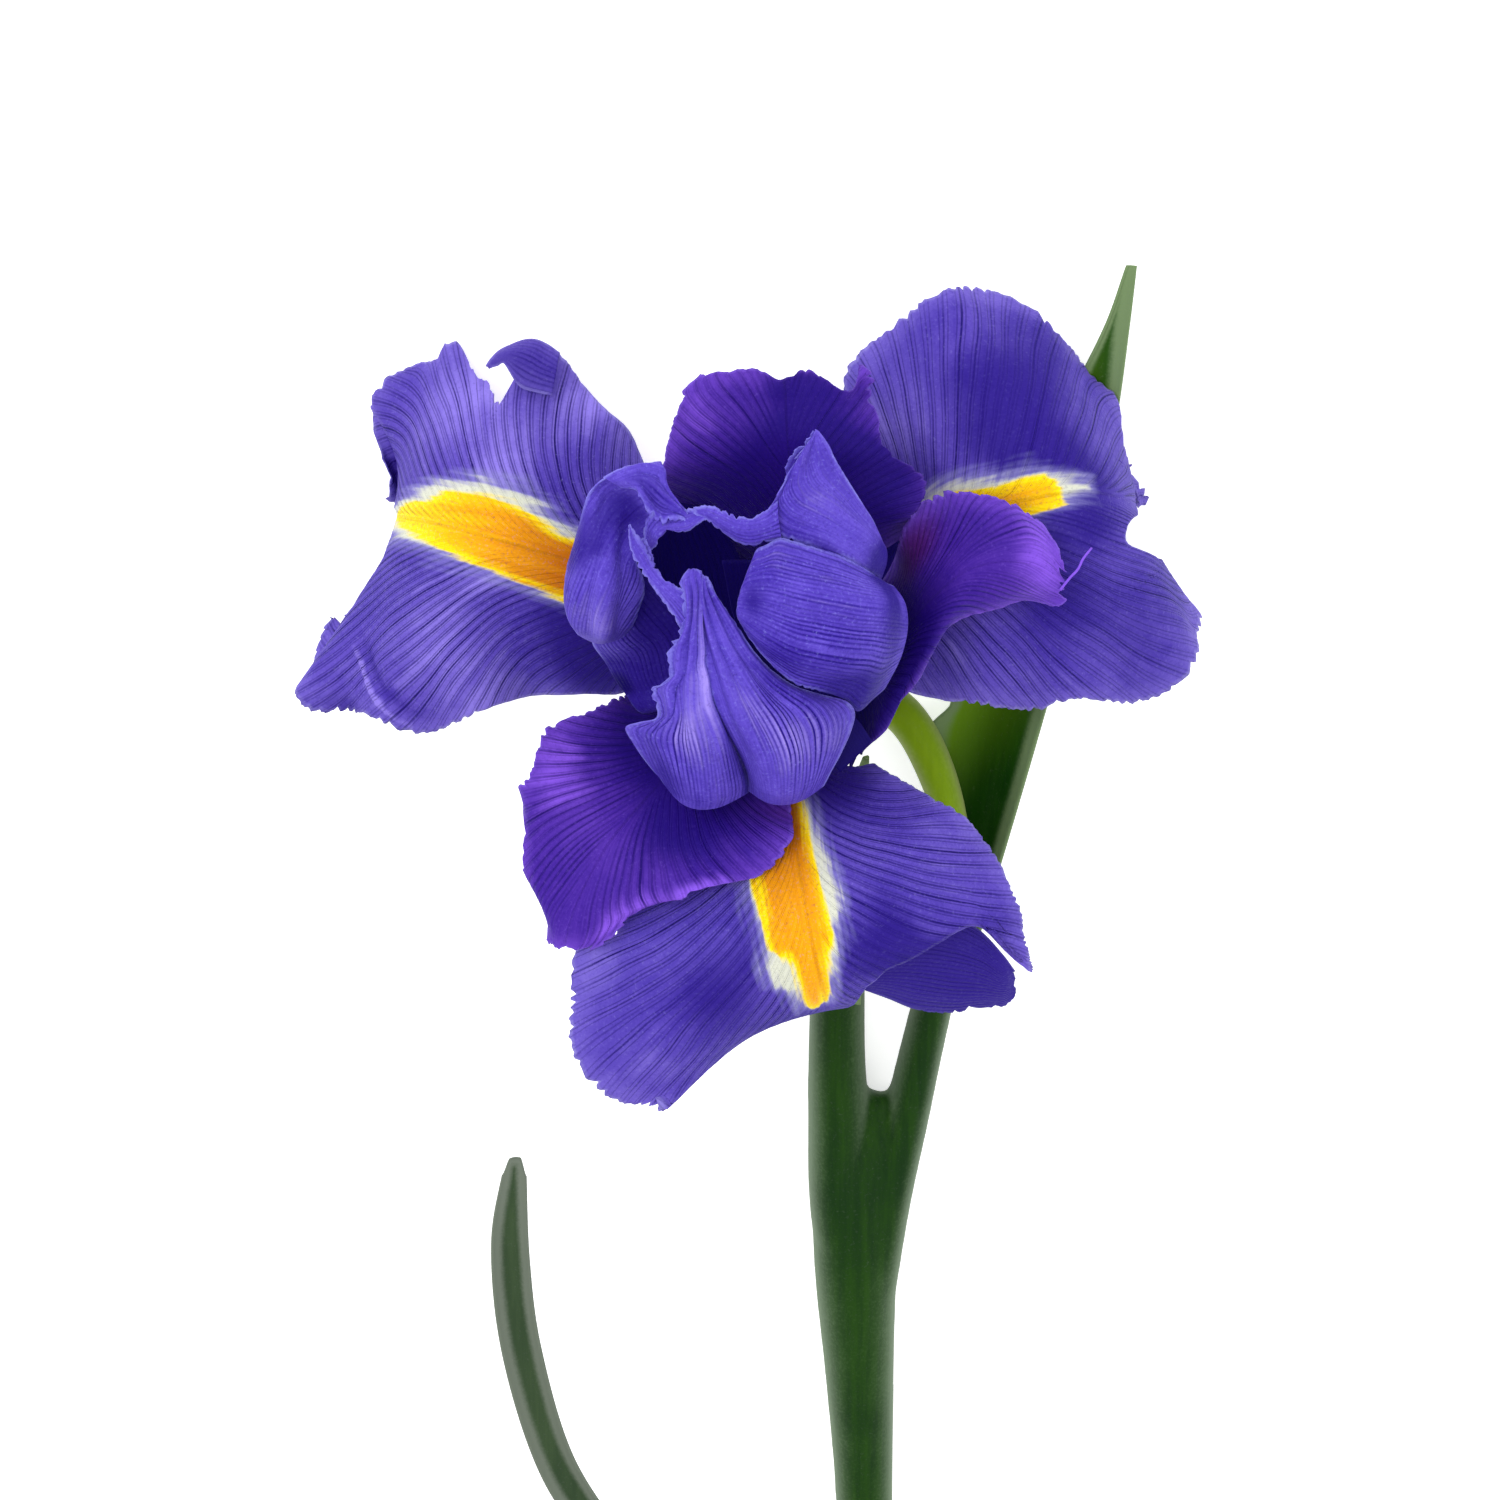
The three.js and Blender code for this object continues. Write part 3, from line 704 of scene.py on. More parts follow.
class Shader:
    """A material's node tree with one Principled shader."""

    def __init__(self, name: str, constants: dict[str, float | Colour]) -> None:
        """Makes the material and sets the shader's constant sockets.

        Args:
            name: the material's name.
            constants: values of the shader's own sockets by name.
        """
        self.material = bpy.data.materials.new(name)
        self.material.use_nodes = True
        self.tree = self.material.node_tree
        self.tree.nodes.clear()
        self.principled = self.tree.nodes.new("ShaderNodeBsdfPrincipled")
        output = self.tree.nodes.new("ShaderNodeOutputMaterial")
        self.tree.links.new(self.principled.outputs[0], output.inputs["Surface"])
        for socket, value in constants.items():
            self.principled.inputs[socket].default_value = value

    def node(self, kind: str, settings: dict[str, object], inputs: dict[str | int, Link],
             output: str | int = 0) -> Value:
        """Adds a node: its settings first, then the values or links of its inputs.

        Args:
            kind: the node's type.
            settings: attributes to set, by name.
            inputs: values or links by socket name or number.
            output: the output that is handed back.

        Returns:
            That output.
        """
        node = self.tree.nodes.new(kind)
        for key, value in settings.items():
            setattr(node, key, value)
        for key, value in inputs.items():
            self.connect(node.inputs[key], value)
        return Value(self.tree, node.outputs[output])

    def connect(self, socket: bpy.types.NodeSocket, value: Link) -> None:
        """Links a value to a socket, or sets the socket to a plain number or colour."""
        if isinstance(value, Value):
            self.tree.links.new(value.socket, socket)
        else:
            socket.default_value = value

    def split(self, vector: Value) -> tuple[Value, Value, Value]:
        """The three numbers of a vector."""
        node = self.tree.nodes.new("ShaderNodeSeparateXYZ")
        self.connect(node.inputs[0], vector)
        return tuple(Value(self.tree, output) for output in node.outputs)

    def layer(self, name: str) -> tuple[Value, Value, Value]:
        """The three numbers of one of the mesh's vector layers."""
        return self.split(self.node("ShaderNodeAttribute", {"attribute_name": name}, {}, "Vector"))

    def object_place(self) -> Value:
        """The place on the object, in metres."""
        return self.node("ShaderNodeTexCoord", {}, {}, "Object")

    def vector(self, x: Link, y: Link, z: Link = 0.0) -> Value:
        """A vector of three numbers."""
        return self.node("ShaderNodeCombineXYZ", {}, {0: x, 1: y, 2: z})

    def noise(self, place: Value, scale: float, detail: float = 2.0,
              rough: float = 0.5) -> Value:
        """Smooth noise round 0, from about -0.5 to 0.5."""
        made = self.node("ShaderNodeTexNoise", {"noise_dimensions": "3D"},
                         {"Vector": place, "Scale": scale, "Detail": detail, "Roughness": rough})
        return made - 0.5

    def blend(self, factor: Link, first: Link, second: Link) -> Value:
        """A colour between two: a Mix node's sockets 6, 7 and 2 are those for colours."""
        return self.node("ShaderNodeMix", {"data_type": "RGBA", "clamp_factor": True},
                         {0: factor, 6: first, 7: second}, 2)

    def finish(self, colour: Value, rough: Link, height: Value, depth: float) -> bpy.types.Material:
        """Feeds the shader its colour, roughness and bump.

        Args:
            colour: the base colour.
            rough: the roughness.
            height: the bump's height, about 0 to 1.
            depth: what a height of 1 stands for, in metres.

        Returns:
            The material.
        """
        self.connect(self.principled.inputs["Base Color"], colour)
        self.connect(self.principled.inputs["Roughness"], rough)
        bump = self.node("ShaderNodeBump", {}, {"Height": height, "Distance": depth,
                                                "Strength": 1.0}, "Normal")
        self.connect(self.principled.inputs["Normal"], bump)
        return self.material


@dataclass(frozen=True)
class PetalFinish:
    """A petal's skin: a mottled ground with dark veins, painted light and shade from the blade's patches,
    a paler margin with a thin rim that is partly a painted highlight and, on a fall, the yellow signal
    with its cream streaks.

    Scales are those of noise over the object, in waves to a metre. From one place along a blade to
    another, in mm, the throat's painted shade gives way to the skin's own colour.
    """

    name: str
    ground: Colour
    deep: Colour
    light: Colour
    vein: Colour
    # The colour of painted shade in dark patches, partly the skin's own deeper colour.
    painted_shade: Colour
    # The colour of the throat's painted shade and of the dark specks.
    throat: Colour
    # The pale colour of the rim, partly a painted highlight, and of the pale specks.
    rim: Colour
    vein_strength: float = 1.0
    vein_width: float = 0.1
    rim_strength: float = 0.6
    edge_strength: float = 0.28
    speck: float = 0.26
    signal: bool = False
    signal_edge: Colour = srgb(242, 214, 0)
    signal_heart: Colour = srgb(232, 156, 0)
    signal_foot: Colour = srgb(176, 84, 0)
    cream: Colour = srgb(200, 202, 186)
    haze: Colour = srgb(134, 130, 190)
    warm: Colour = srgb(72, 16, 84)
    papilla: Colour = srgb(206, 116, 0)
    throat_from: float = 0.0
    throat_to: float = 20.0
    mottle_scale: float = 130.0
    patch_scale: float = 420.0
    grain_scale: float = 2600.0
    bump_depth: float = 0.00014

    def make(self) -> bpy.types.Material:
        """The material: each veil of colour is a smooth step of one of the mesh's layers, made
        uneven by noise over the object, along the veins or across them."""
        shader = Shader(self.name, {
            "Specular IOR Level": 0.08, "Sheen Weight": 0.03, "Sheen Roughness": 0.4,
            "Sheen Tint": srgb(150, 130, 255),
        })
        along, across, margin = shader.layer("place")
        phase, pitch, signal = shader.layer("fan")
        shade, cream_in, warmth = shader.layer("tone")
        place = shader.object_place()
        mottle = shader.noise(place, self.mottle_scale, 3.0)
        grain = shader.noise(place, self.grain_scale, 2.0, 0.7)
        streak = shader.noise(shader.vector(phase, along * 0.06, across * 0.02), 1.1, 3.0, 0.6)
        wander = shader.noise(shader.vector(phase * 0.13, along * 0.12, across * 0.1), 1.0, 1.0)
        finger = shader.noise(shader.vector(across * 0.9, along * 0.07, 0.0), 1.0, 2.0, 0.6)
        own = shader.noise(shader.vector((phase - phase % 1.0) * 7.3, along * 0.05, 0.0), 1.0, 2.0)
        patchy = shader.noise(place, self.patch_scale, 3.0, 0.6)

        # The ground, pale patches where noise and the patches' painted light lighten it, and the paler
        # margin.
        ground = mottle * 1.2 + streak * 1.4 + patchy * 0.7 + 0.45
        colour = shader.blend(ground.step(0.0, 1.0), self.ground, self.deep)
        lit = shade + mottle * 0.5 + streak * 1.3 + patchy * 0.5
        colour = shader.blend(lit.step(0.0, 1.0), colour, self.light)
        edge = (1 - (margin + mottle * 2.5).step(0.0, 3.0)) * self.edge_strength
        colour = shader.blend(edge, colour, self.light)

        # A vein runs where its number passes a half, and a fine one between each two.
        line = abs((phase + wander * 0.7) % 1.0 - 0.5) * pitch
        fine = abs((phase * 2.0 + wander * 1.2) % 1.0 - 0.5) * pitch * 0.5
        width = self.vein_width
        strong = (1 - line.step(width * 0.2, width * 1.7)) * (own * 2.4 + streak + 0.7)
        faint = (1 - fine.step(width * 0.2, width)) * 0.4 * pitch.step(0.5, 1.1)
        veins = strong.math("MAXIMUM", faint) * pitch.step(0.2, 0.7)
        fade = margin.step(0.3, 4.0) * 0.5 + 0.5
        colour = shader.blend(veins * fade * self.vein_strength, colour, self.vein)

        # The warm tint, the skin's own; painted shade in the dark patches; and the bright rim, partly the
        # margin's own pale colour and partly a painted highlight, kept out of the painted shade.
        colour = shader.blend(warmth.step(0.0, 1.0) * 0.8, colour, self.warm)
        dark = ((0 - shade) + mottle * 0.3).step(0.0, 1.3)
        colour = shader.blend(dark * 0.9, colour, self.painted_shade)
        rim = (1 - (margin + grain * 0.2).step(0.08, 0.45)) * self.rim_strength
        rim = rim * (1 - dark * 0.8) * (patchy * 3.0 + 0.7).step(0.0, 1.0)
        colour = shader.blend(rim, colour, self.rim)
        if self.signal:
            # The signal: haze and cream round it, yellow at its edge, orange at its heart and foot.
            broken = cream_in + finger * 4.0 + streak * 1.5
            colour = shader.blend(broken.step(-1.5, 0.8) * 0.7, colour, self.haze)
            colour = shader.blend(broken.step(0.0, 1.5), colour, self.cream)
            inside = signal + finger * 2.2 + streak * 0.6
            yellow = inside.step(-0.3, 0.35)
            late = (along + finger * 14.0 + warmth * 12.0).step(38.0, 56.0)
            lines = shader.noise(shader.vector(across * 2.2, along * 0.12, 0.0), 1.0, 2.0)
            heart = (inside + mottle * 1.5 + lines * 1.5).step(0.0, 1.5) * (1 - late * 0.8)
            gold = shader.blend(heart, self.signal_edge, self.signal_heart)
            foot = 1 - (along + finger * 14.0).step(26.0, 46.0)
            gold = shader.blend(foot * heart, gold, self.signal_foot)
            papilla = grain.step(0.0, 0.3) * 0.35 + lines.step(0.05, 0.35) * 0.35
            gold = shader.blend(papilla, gold, self.papilla)
            colour = shader.blend(yellow, colour, gold)

        # Painted shade in the throat's colour, at the blade's foot and in the darkest patches of painted
        # shade, and fine dark and pale specks, which are the skin's own.
        abyss = ((0 - shade) - 1.8).step(0.0, 1.0)
        throat = (1 - along.step(self.throat_from, self.throat_to)).math("MAXIMUM", abyss)
        colour = shader.blend(throat, colour, self.throat)
        colour = shader.blend(grain.step(0.0, 0.35) * self.speck * 1.3, colour, self.throat)
        speck = (0 - grain).step(0.04, 0.34) * (1 - throat) * (1 - dark * 0.7)
        colour = shader.blend(speck * self.speck, colour, self.rim)
        rough = (grain * 0.2 + mottle * 0.1 + 0.6).math("MINIMUM", 0.9)
        height = veins * -0.8 + grain * 0.5 + streak * 0.5
        return shader.finish(colour, rough, height, self.bump_depth)


@dataclass(frozen=True)
class GreenFinish:
    """A waxy green skin: long fibres, a dark saturated middle, a pale bloom near a blade's margin, a
    painted sheen in the bloom's colour where the skin turns away from the camera's axis, and a tint to
    the west of a line on the table, by default just west of the flower's middle. North of a given place
    the line runs north, and south of it south-west."""

    name: str
    middle: Colour
    side: Colour
    # Pale colour of the wax near a blade's margin, of the painted sheen and of the pale specks.
    bloom: Colour
    tint: Colour
    tint_span: tuple[float, float] = (-1.0, -0.9)
    fibre_pitch: float = 0.9
    fibre_squeeze: float = 0.04
    cloud_scale: float = 60.0
    grain_scale: float = 2400.0
    bump_depth: float = 0.00006

    def make(self) -> bpy.types.Material:
        """The material, on the object's own coordinates and its layer of wax and painted sheen."""
        shader = Shader(self.name, {
            "Specular IOR Level": 0.1, "Sheen Weight": 0.02, "Sheen Roughness": 0.4,
            "Sheen Tint": srgb(215, 225, 210),
        })
        turned, near, _ = shader.layer("wax_and_sheen")
        place = shader.object_place()
        stretched = shader.node("ShaderNodeMapping", {}, {
            "Vector": place, "Scale": (1.0, self.fibre_squeeze, 1.0)})
        fibre = shader.noise(stretched, 1 / (self.fibre_pitch * MM), 3.0, 0.6)
        cloud = shader.noise(place, self.cloud_scale, 3.0)
        grain = shader.noise(place, self.grain_scale, 2.0, 0.7)
        colour = shader.blend((fibre * 1.2 + cloud * 1.4 + grain * 0.5 + 0.4).step(0.0, 1.0),
                              self.middle, self.side)
        east, north, _ = shader.split(place)
        lean = east - (north - TINT_NORTH * MM).math("MINIMUM", 0.0) * TINT_SLOPE
        tint = 1 - (lean + cloud * 0.004).step(*(value * MM for value in self.tint_span))
        colour = shader.blend(tint, colour, self.tint)
        # Painted sheen where the skin turns away from the camera's axis, and the pale wax near a blade's
        # margin.
        wax_and_sheen = (turned + near + cloud * 0.3 + grain * 0.3).step(0.12, 0.8) * 0.9
        colour = shader.blend(wax_and_sheen, colour, self.bloom)
        colour = shader.blend((0 - grain).step(0.05, 0.4) * 0.25, colour, self.bloom)
        rough = (grain * 0.15 + cloud * 0.2 + 0.6).math("MINIMUM", 0.9)
        return shader.finish(colour, rough, fibre + grain * 0.3, self.bump_depth)


class Palette(Enum):
    """The finishes of the flower's parts."""

    FALL = PetalFinish(
        "fall skin", ground=srgb(86, 68, 170), deep=srgb(60, 42, 148), light=srgb(130, 113, 208),
        vein=srgb(24, 8, 100), painted_shade=srgb(34, 14, 118), throat=srgb(20, 4, 100),
        rim=srgb(140, 132, 204), vein_strength=1.15, signal=True, throat_from=14.0, throat_to=30.0)
    STANDARD = PetalFinish(
        "standard skin", ground=srgb(72, 38, 150), deep=srgb(48, 18, 130),
        light=srgb(126, 80, 212), vein=srgb(28, 4, 100), painted_shade=srgb(26, 4, 106),
        throat=srgb(16, 2, 92), rim=srgb(116, 84, 196), vein_strength=0.9, throat_from=18.0,
        throat_to=36.0)
    ARM = PetalFinish(
        "style arm skin", ground=srgb(94, 74, 190), deep=srgb(58, 36, 154),
        light=srgb(152, 134, 222), vein=srgb(34, 14, 124), painted_shade=srgb(34, 14, 120),
        throat=srgb(16, 2, 88), rim=srgb(140, 138, 226), rim_strength=0.5, edge_strength=0.0,
        vein_strength=1.4, speck=0.36, throat_to=14.0)
    STEM = GreenFinish("stem skin", srgb(10, 42, 6), srgb(28, 62, 4), srgb(98, 116, 92),
                       srgb(28, 62, 4))
    SPATHE = GreenFinish("spathe skin", srgb(8, 54, 0), srgb(24, 70, 2), srgb(112, 134, 92),
                         srgb(102, 142, 4), (30.0, 44.5))
    OVARY = GreenFinish("ovary skin", srgb(110, 142, 4), srgb(124, 156, 12), srgb(150, 168, 96),
                        srgb(120, 152, 8))
    LEAF = GreenFinish("leaf skin", srgb(42, 60, 38), srgb(54, 72, 46), srgb(104, 112, 100),
                       srgb(42, 60, 38))
    ANTHER = GreenFinish("anther skin", srgb(214, 204, 160), srgb(196, 184, 140),
                         srgb(226, 218, 180), srgb(214, 204, 160))

    def material(self) -> bpy.types.Material:
        """The finish's material, made once."""
        found = bpy.data.materials.get(self.value.name)
        return found if found else self.value.make()


def add_wax_and_sheen(piece: bpy.types.Object, margin: Array | None = None) -> None:
    """Gives a green piece its layer of wax and painted sheen: how far its skin turns away from straight
    above the open bloom, which is the camera's axis, for the painted sheen, and how near a blade's margin
    it is, for the pale wax.

    Args:
        piece: the piece, finished.
        margin: each point's distance from the margin in mm, on a blade.
    """
    mesh = piece.data
    normal = np.empty(len(mesh.vertices) * 3, np.float32)
    mesh.vertex_normals.foreach_get("vector", normal)
    # Painted sheen: how far the skin turns away from the camera's axis.
    turned = 1 - np.abs(normal.reshape(-1, 3) @ OVER_BLOOM)
    near = np.zeros_like(turned) if margin is None else 1 - ease(margin, 0.0, 2.2)
    rows = np.stack([turned * (margin is None), near, near], axis=-1)
    attribute = mesh.attributes.new("wax_and_sheen", "FLOAT_VECTOR", "POINT")
    attribute.data.foreach_set("vector", rows.astype(np.float32).ravel())


def hand_over(piece: bpy.types.Object, node: str) -> None:
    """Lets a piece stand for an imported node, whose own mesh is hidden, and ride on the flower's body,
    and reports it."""
    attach(piece, BODY)
    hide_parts(node)
    log.info("%s: %d faces for %s", piece.name, len(piece.data.polygons), node)


def place_piece(mesh: Mesh, name: str, finish: Palette, node: str) -> None:
    """Makes a piece of a mesh, with wax and painted sheen on a green one, and hands it over."""
    piece = mesh.object(name, finish.material())
    if isinstance(finish.value, GreenFinish):
        add_wax_and_sheen(piece, mesh.layers["place"][:, 2] if mesh.layers else None)
    hand_over(piece, node)


def place_whorl(kind: str, ending: str, finish: Palette,
                whorl: dict[str, tuple[Blade, ...]]) -> None:
    """Makes one piece of the blades at each place round the flower's axis.

    Args:
        kind: how the nodes' names begin.
        ending: how the pieces' names end.
        finish: the pieces' finish.
        whorl: the blades by place.
    """
    for where, blades in whorl.items():
        node = f"{kind}_{where}"
        place_piece(join(*(blade.mesh() for blade in blades)), f"{node}_{ending}", finish,
                    node)


# Where the petals and arms stand round the flower's axis, in degrees, and how their feet rise from
# it: distance out, height along the axis and half width.
FALL_CLAW = ((PETAL_FOOT, 0.8, 1.5), (4.9, 6.0, 1.9), (9.5, 13.5, 3.8))
FALL_TURN = {"left": 168.0, "right": 25.0, "bottom": 276.0}
STANDARD_CLAW = ((PETAL_FOOT, 0.8, 1.4), (4.6, 6.0, 1.7), (6.5, 12.0, 2.6))
STANDARD_TURN = {"left": 225.0, "right": 338.0, "top": 97.0}
ARM_FOOT = ((STRAP_FOOT, 7.2, 1.3), (3.2, 13.0, 2.6))


@dataclass
class Falls:
    """The three outer petals, and the small sheets that their torn or folded ends add."""

    rows: int = 280
    columns: int = 96

    def blade(self, form: Form, **details: object) -> Blade:
        """A fall's blade on the falls' own grid."""
        return Blade(form, self.rows, self.columns, tooth_pitch=1.7, **details)

    def left(self) -> Blade:
        """The left fall, with a notch in its upper margin and a fold near its tip."""
        form = Form(
            rib=((-17, 20, -16), (-26, 23, -12.5), (-33.5, 25, -13.5), (-39, 26.5, -19), (-42, 27, -27),
                 (-41.5, 25.5, -35)),
            left=((-16, 6.5, -24), (-25.5, 6, -21), (-36, 2.5, -22), (-47, 4.5, -28), (-53.5, 7.5, -32),
                  (-48.5, 16.5, -36)),
            right=((-12.2, 33.2, -21), (-16.5, 41.3, -21), (-24, 47.6, -23.5), (-34.5, 47, -25.3),
                   (-43, 42, -28), (-43, 34, -30.9)),
            foot=Foot(FALL_TURN["left"], FALL_CLAW))
        hems = (Hem(-1, ((0.35, 2), (0.42, -4), (0.49, 2), (0.56, -6), (0.65, 4), (0.71, -3), (0.8, 4),
                         (0.86, 0), (0.95, 6), (1, 4))),
                Hem(1, ((0.4, 0), (0.48, -7), (0.54, -4), (0.625, -4), (0.638, -35), (0.69, -22),
                        (0.755, 2), (0.775, -4), (0.82, 12), (0.875, 5), (0.925, 14), (0.95, 10),
                        (0.975, 13), (1, 8))),
                Hem(0, ((-1, -1), (-0.8, -5), (-0.5, -13), (-0.2, -17), (0, -17), (0.2, -3), (0.3, 0),
                        (0.6, 0), (0.7, 5), (1, 7))))
        # A fold near the tip: a ridge with a painted highlight along it, and a groove beside it with
        # painted shade.
        creases = (Crease((0.80, -0.68), (0.662, -1.0), 0.004, -0.3, 1.0),
                   Crease((0.782, -0.64), (0.645, -0.97), 0.014, 0.4, -1.1))
        patches = (Patch(0.35, -0.55, 0.09, 0.5, -1.1), Patch(1.0, 0.85, 0.03, 0.33, -1.1),
                   Patch(0.73, 0.62, 0.11, 0.33, 0.6), Patch(0.58, 0.45, 0.06, 0.2, 0.5),
                   Patch(0.62, -0.55, 0.09, 0.3, 0.6), Patch(0.54, -0.89, 0.07, 0.15, 0.5),
                   Patch(0.42, -0.57, 0.06, 0.44, -1.0), Patch(0.66, 0.75, 0.03, 0.12, 0.5),
                   Patch(0.48, 0.48, 0.05, 0.24, -0.2), Patch(0.43, 0.9, 0.03, 0.19, 0.3),
                   Patch(0.52, 0.91, 0.05, 0.25, 0.6), Patch(0.58, 0.33, 0.06, 0.1, 0.4),
                   Patch(0.54, -0.23, 0.07, 0.08, 0.5), Patch(0.715, -0.86, 0.04, 0.12, 0.3),
                   Patch(0.76, -1.0, 0.05, 0.08, -1.0), Patch(0.8, -0.8, 0.05, 0.1, 0.3))
        signal = Stripe(((10, -4, 4), (28, -4.6, 2.6), (33.5, -4.4, 2.8), (39.4, -3.8, 4.5),
                         (44, -3.1, 4.8), (48.4, -2.1, 4.1), (51, -1.5, 3.1), (54, -1.0, 2.3),
                         (57, -0.5, 1.4), (58.5, -0.3, 1.0)))
        cream = Stripe(((10, -5, 4), (28, -5.2, 3.4), (34, -5.0, 4.2), (40, -4.2, 6.6), (44, -3.5, 6.9),
                        (50, -2.8, 5.8), (54, -2.4, 4.0), (58, -1.6, 2.6), (61, -1.0, 1.5)))
        return self.blade(form, fan=Fan(42, (0.5, 0.38), 0.45), ruffles=(Ruffle(7, 1.0, 0),),
                          teeth_of=(0.8, 0.8, 0.3), tooth_from=0.5, hems=hems, creases=creases,
                          patches=patches, signal=signal, cream=cream)

    def left_curl(self) -> Blade:
        """The lobe that curls over beside the left fall's notch."""
        form = Form(
            rib=((-22.3, 43.5, -17), (-24, 44.2, -17), (-25.3, 44.9, -17), (-26.7, 45.4, -17),
                 (-27.8, 45.6, -17), (-28.7, 45.4, -17.2), (-29.6, 44.7, -17.6), (-30.3, 44.2, -17.8)),
            left=((-21.9, 45.8, -17), (-23.3, 46.8, -17.5), (-24.7, 47.4, -18), (-26.1, 47.4, -18.5),
                  (-27.5, 46.9, -18.6), (-28.9, 46.2, -18.4), (-29.9, 45.2, -18), (-30.5, 44.3, -18)),
            right=((-22.8, 40.8, -17), (-24.7, 41.2, -17), (-26.3, 41.7, -17), (-27.2, 42.7, -17),
                   (-27.9, 44, -17.2), (-28.4, 44.6, -17.4), (-29.2, 44.3, -17.6), (-30.1, 44, -17.8)))
        return Blade(form, 40, 20, fan=Fan(across=5), teeth_of=(0.1, 0.1, 0.0), start=60.0,
                     patches=(Patch(0.6, 0.0, 1.0, 2.0, -0.8),))

    def right(self) -> Blade:
        """The right fall, with painted shade on either side of its signal."""
        form = Form(
            rib=((19, 23.5, -18), (24.5, 27, -12), (30.5, 28.5, -9), (37, 29.5, -10), (42.5, 29, -16),
                 (46, 27, -26), (46.5, 24.5, -34)),
            left=((12, 32.5, -22), (13.5, 45, -20), (22.5, 53.5, -19), (32.6, 51.2, -21),
                  (41.5, 42.5, -24), (45, 34, -28), (47, 28, -34)),
            right=((18.5, 7, -28), (26, 5.5, -26), (35, 5, -25), (46, 6, -27), (53.5, 12.5, -30),
                   (51, 18, -33), (48.5, 22.5, -37.8)),
            foot=Foot(FALL_TURN["right"], FALL_CLAW))
        hems = (Hem(-1, ((0.38, 0), (0.41, 9), (0.54, -4), (0.62, 3), (0.7, -8), (0.75, 4), (0.79, 3),
                         (0.845, -28), (0.87, -24), (0.925, 4), (1, -4))),
                Hem(1, ((0.4, 0), (0.45, -2), (0.52, 4), (0.59, -7), (0.66, 3), (0.75, -1), (0.8, 0),
                        (0.87, 10), (0.92, -5), (0.975, 6))),
                Hem(0, ((-1, -3), (-0.5, -6), (-0.4, -11), (0, -15), (0.3, -26), (0.5, -17), (0.6, 0),
                        (1, 0))))
        patches = (Patch(0.55, -0.35, 0.1, 0.3, -0.7), Patch(0.57, -0.5, 0.1, 0.25, -0.6),
                   Patch(0.66, -0.18, 0.08, 0.16, -1.2), Patch(0.55, -0.13, 0.06, 0.13, -0.6),
                   Patch(0.65, 0.52, 0.09, 0.27, -0.5), Patch(0.57, 0.45, 0.08, 0.22, -0.9),
                   Patch(0.45, -0.57, 0.04, 0.27, 0.5), Patch(0.83, -0.9, 0.04, 0.4, 0.3),
                   Patch(0.68, 0.16, 0.08, 0.12, -1.0), Patch(0.73, 0.85, 0.04, 0.14, 0.2),
                   Patch(0.52, 0.86, 0.09, 0.12, 0.25), Patch(0.41, 0.68, 0.06, 0.16, 0.3),
                   Patch(0.67, -0.75, 0.04, 0.17, -0.3), Patch(0.4, 0.35, 0.08, 0.3, -0.8),
                   Patch(0.4, -0.73, 0.03, 0.27, 0.6), Patch(0.67, -0.05, 0.07, 0.1, -1.2),
                   Patch(0.67, -0.52, 0.07, 0.21, -0.4), Patch(0.48, -0.15, 0.06, 0.06, 0.5),
                   Patch(0.3, -0.15, 0.035, 0.6, -4.0), Patch(0.64, -0.8, 0.08, 0.3, -0.4),
                   Patch(0.71, 0.79, 0.07, 0.2, -0.5))
        signal = Stripe(((10, -2, 3), (30, -2.8, 3), (37, -2.8, 2.6), (42, -1.9, 2.3),
                         (45.5, -2.2, 2.0), (47.5, -2.0, 1.9), (49, -0.9, 1.4)))
        cream = Stripe(((10, -3, 4), (30, -5.2, 5.6), (37, -4.6, 4.6), (42.8, -3.2, 3.0),
                        (47, -2.9, 2.0), (49.5, -2.0, 1.4), (51.5, -1.4, 0.6), (53, -1.0, 0.2)))
        return self.blade(form, fan=Fan(42, (0.2, 0.6), 0.45), ruffles=(Ruffle(7, 0.9, 1),),
                          teeth_of=(0.95, 0.85, 0.9), hems=hems, patches=patches, signal=signal,
                          cream=cream)

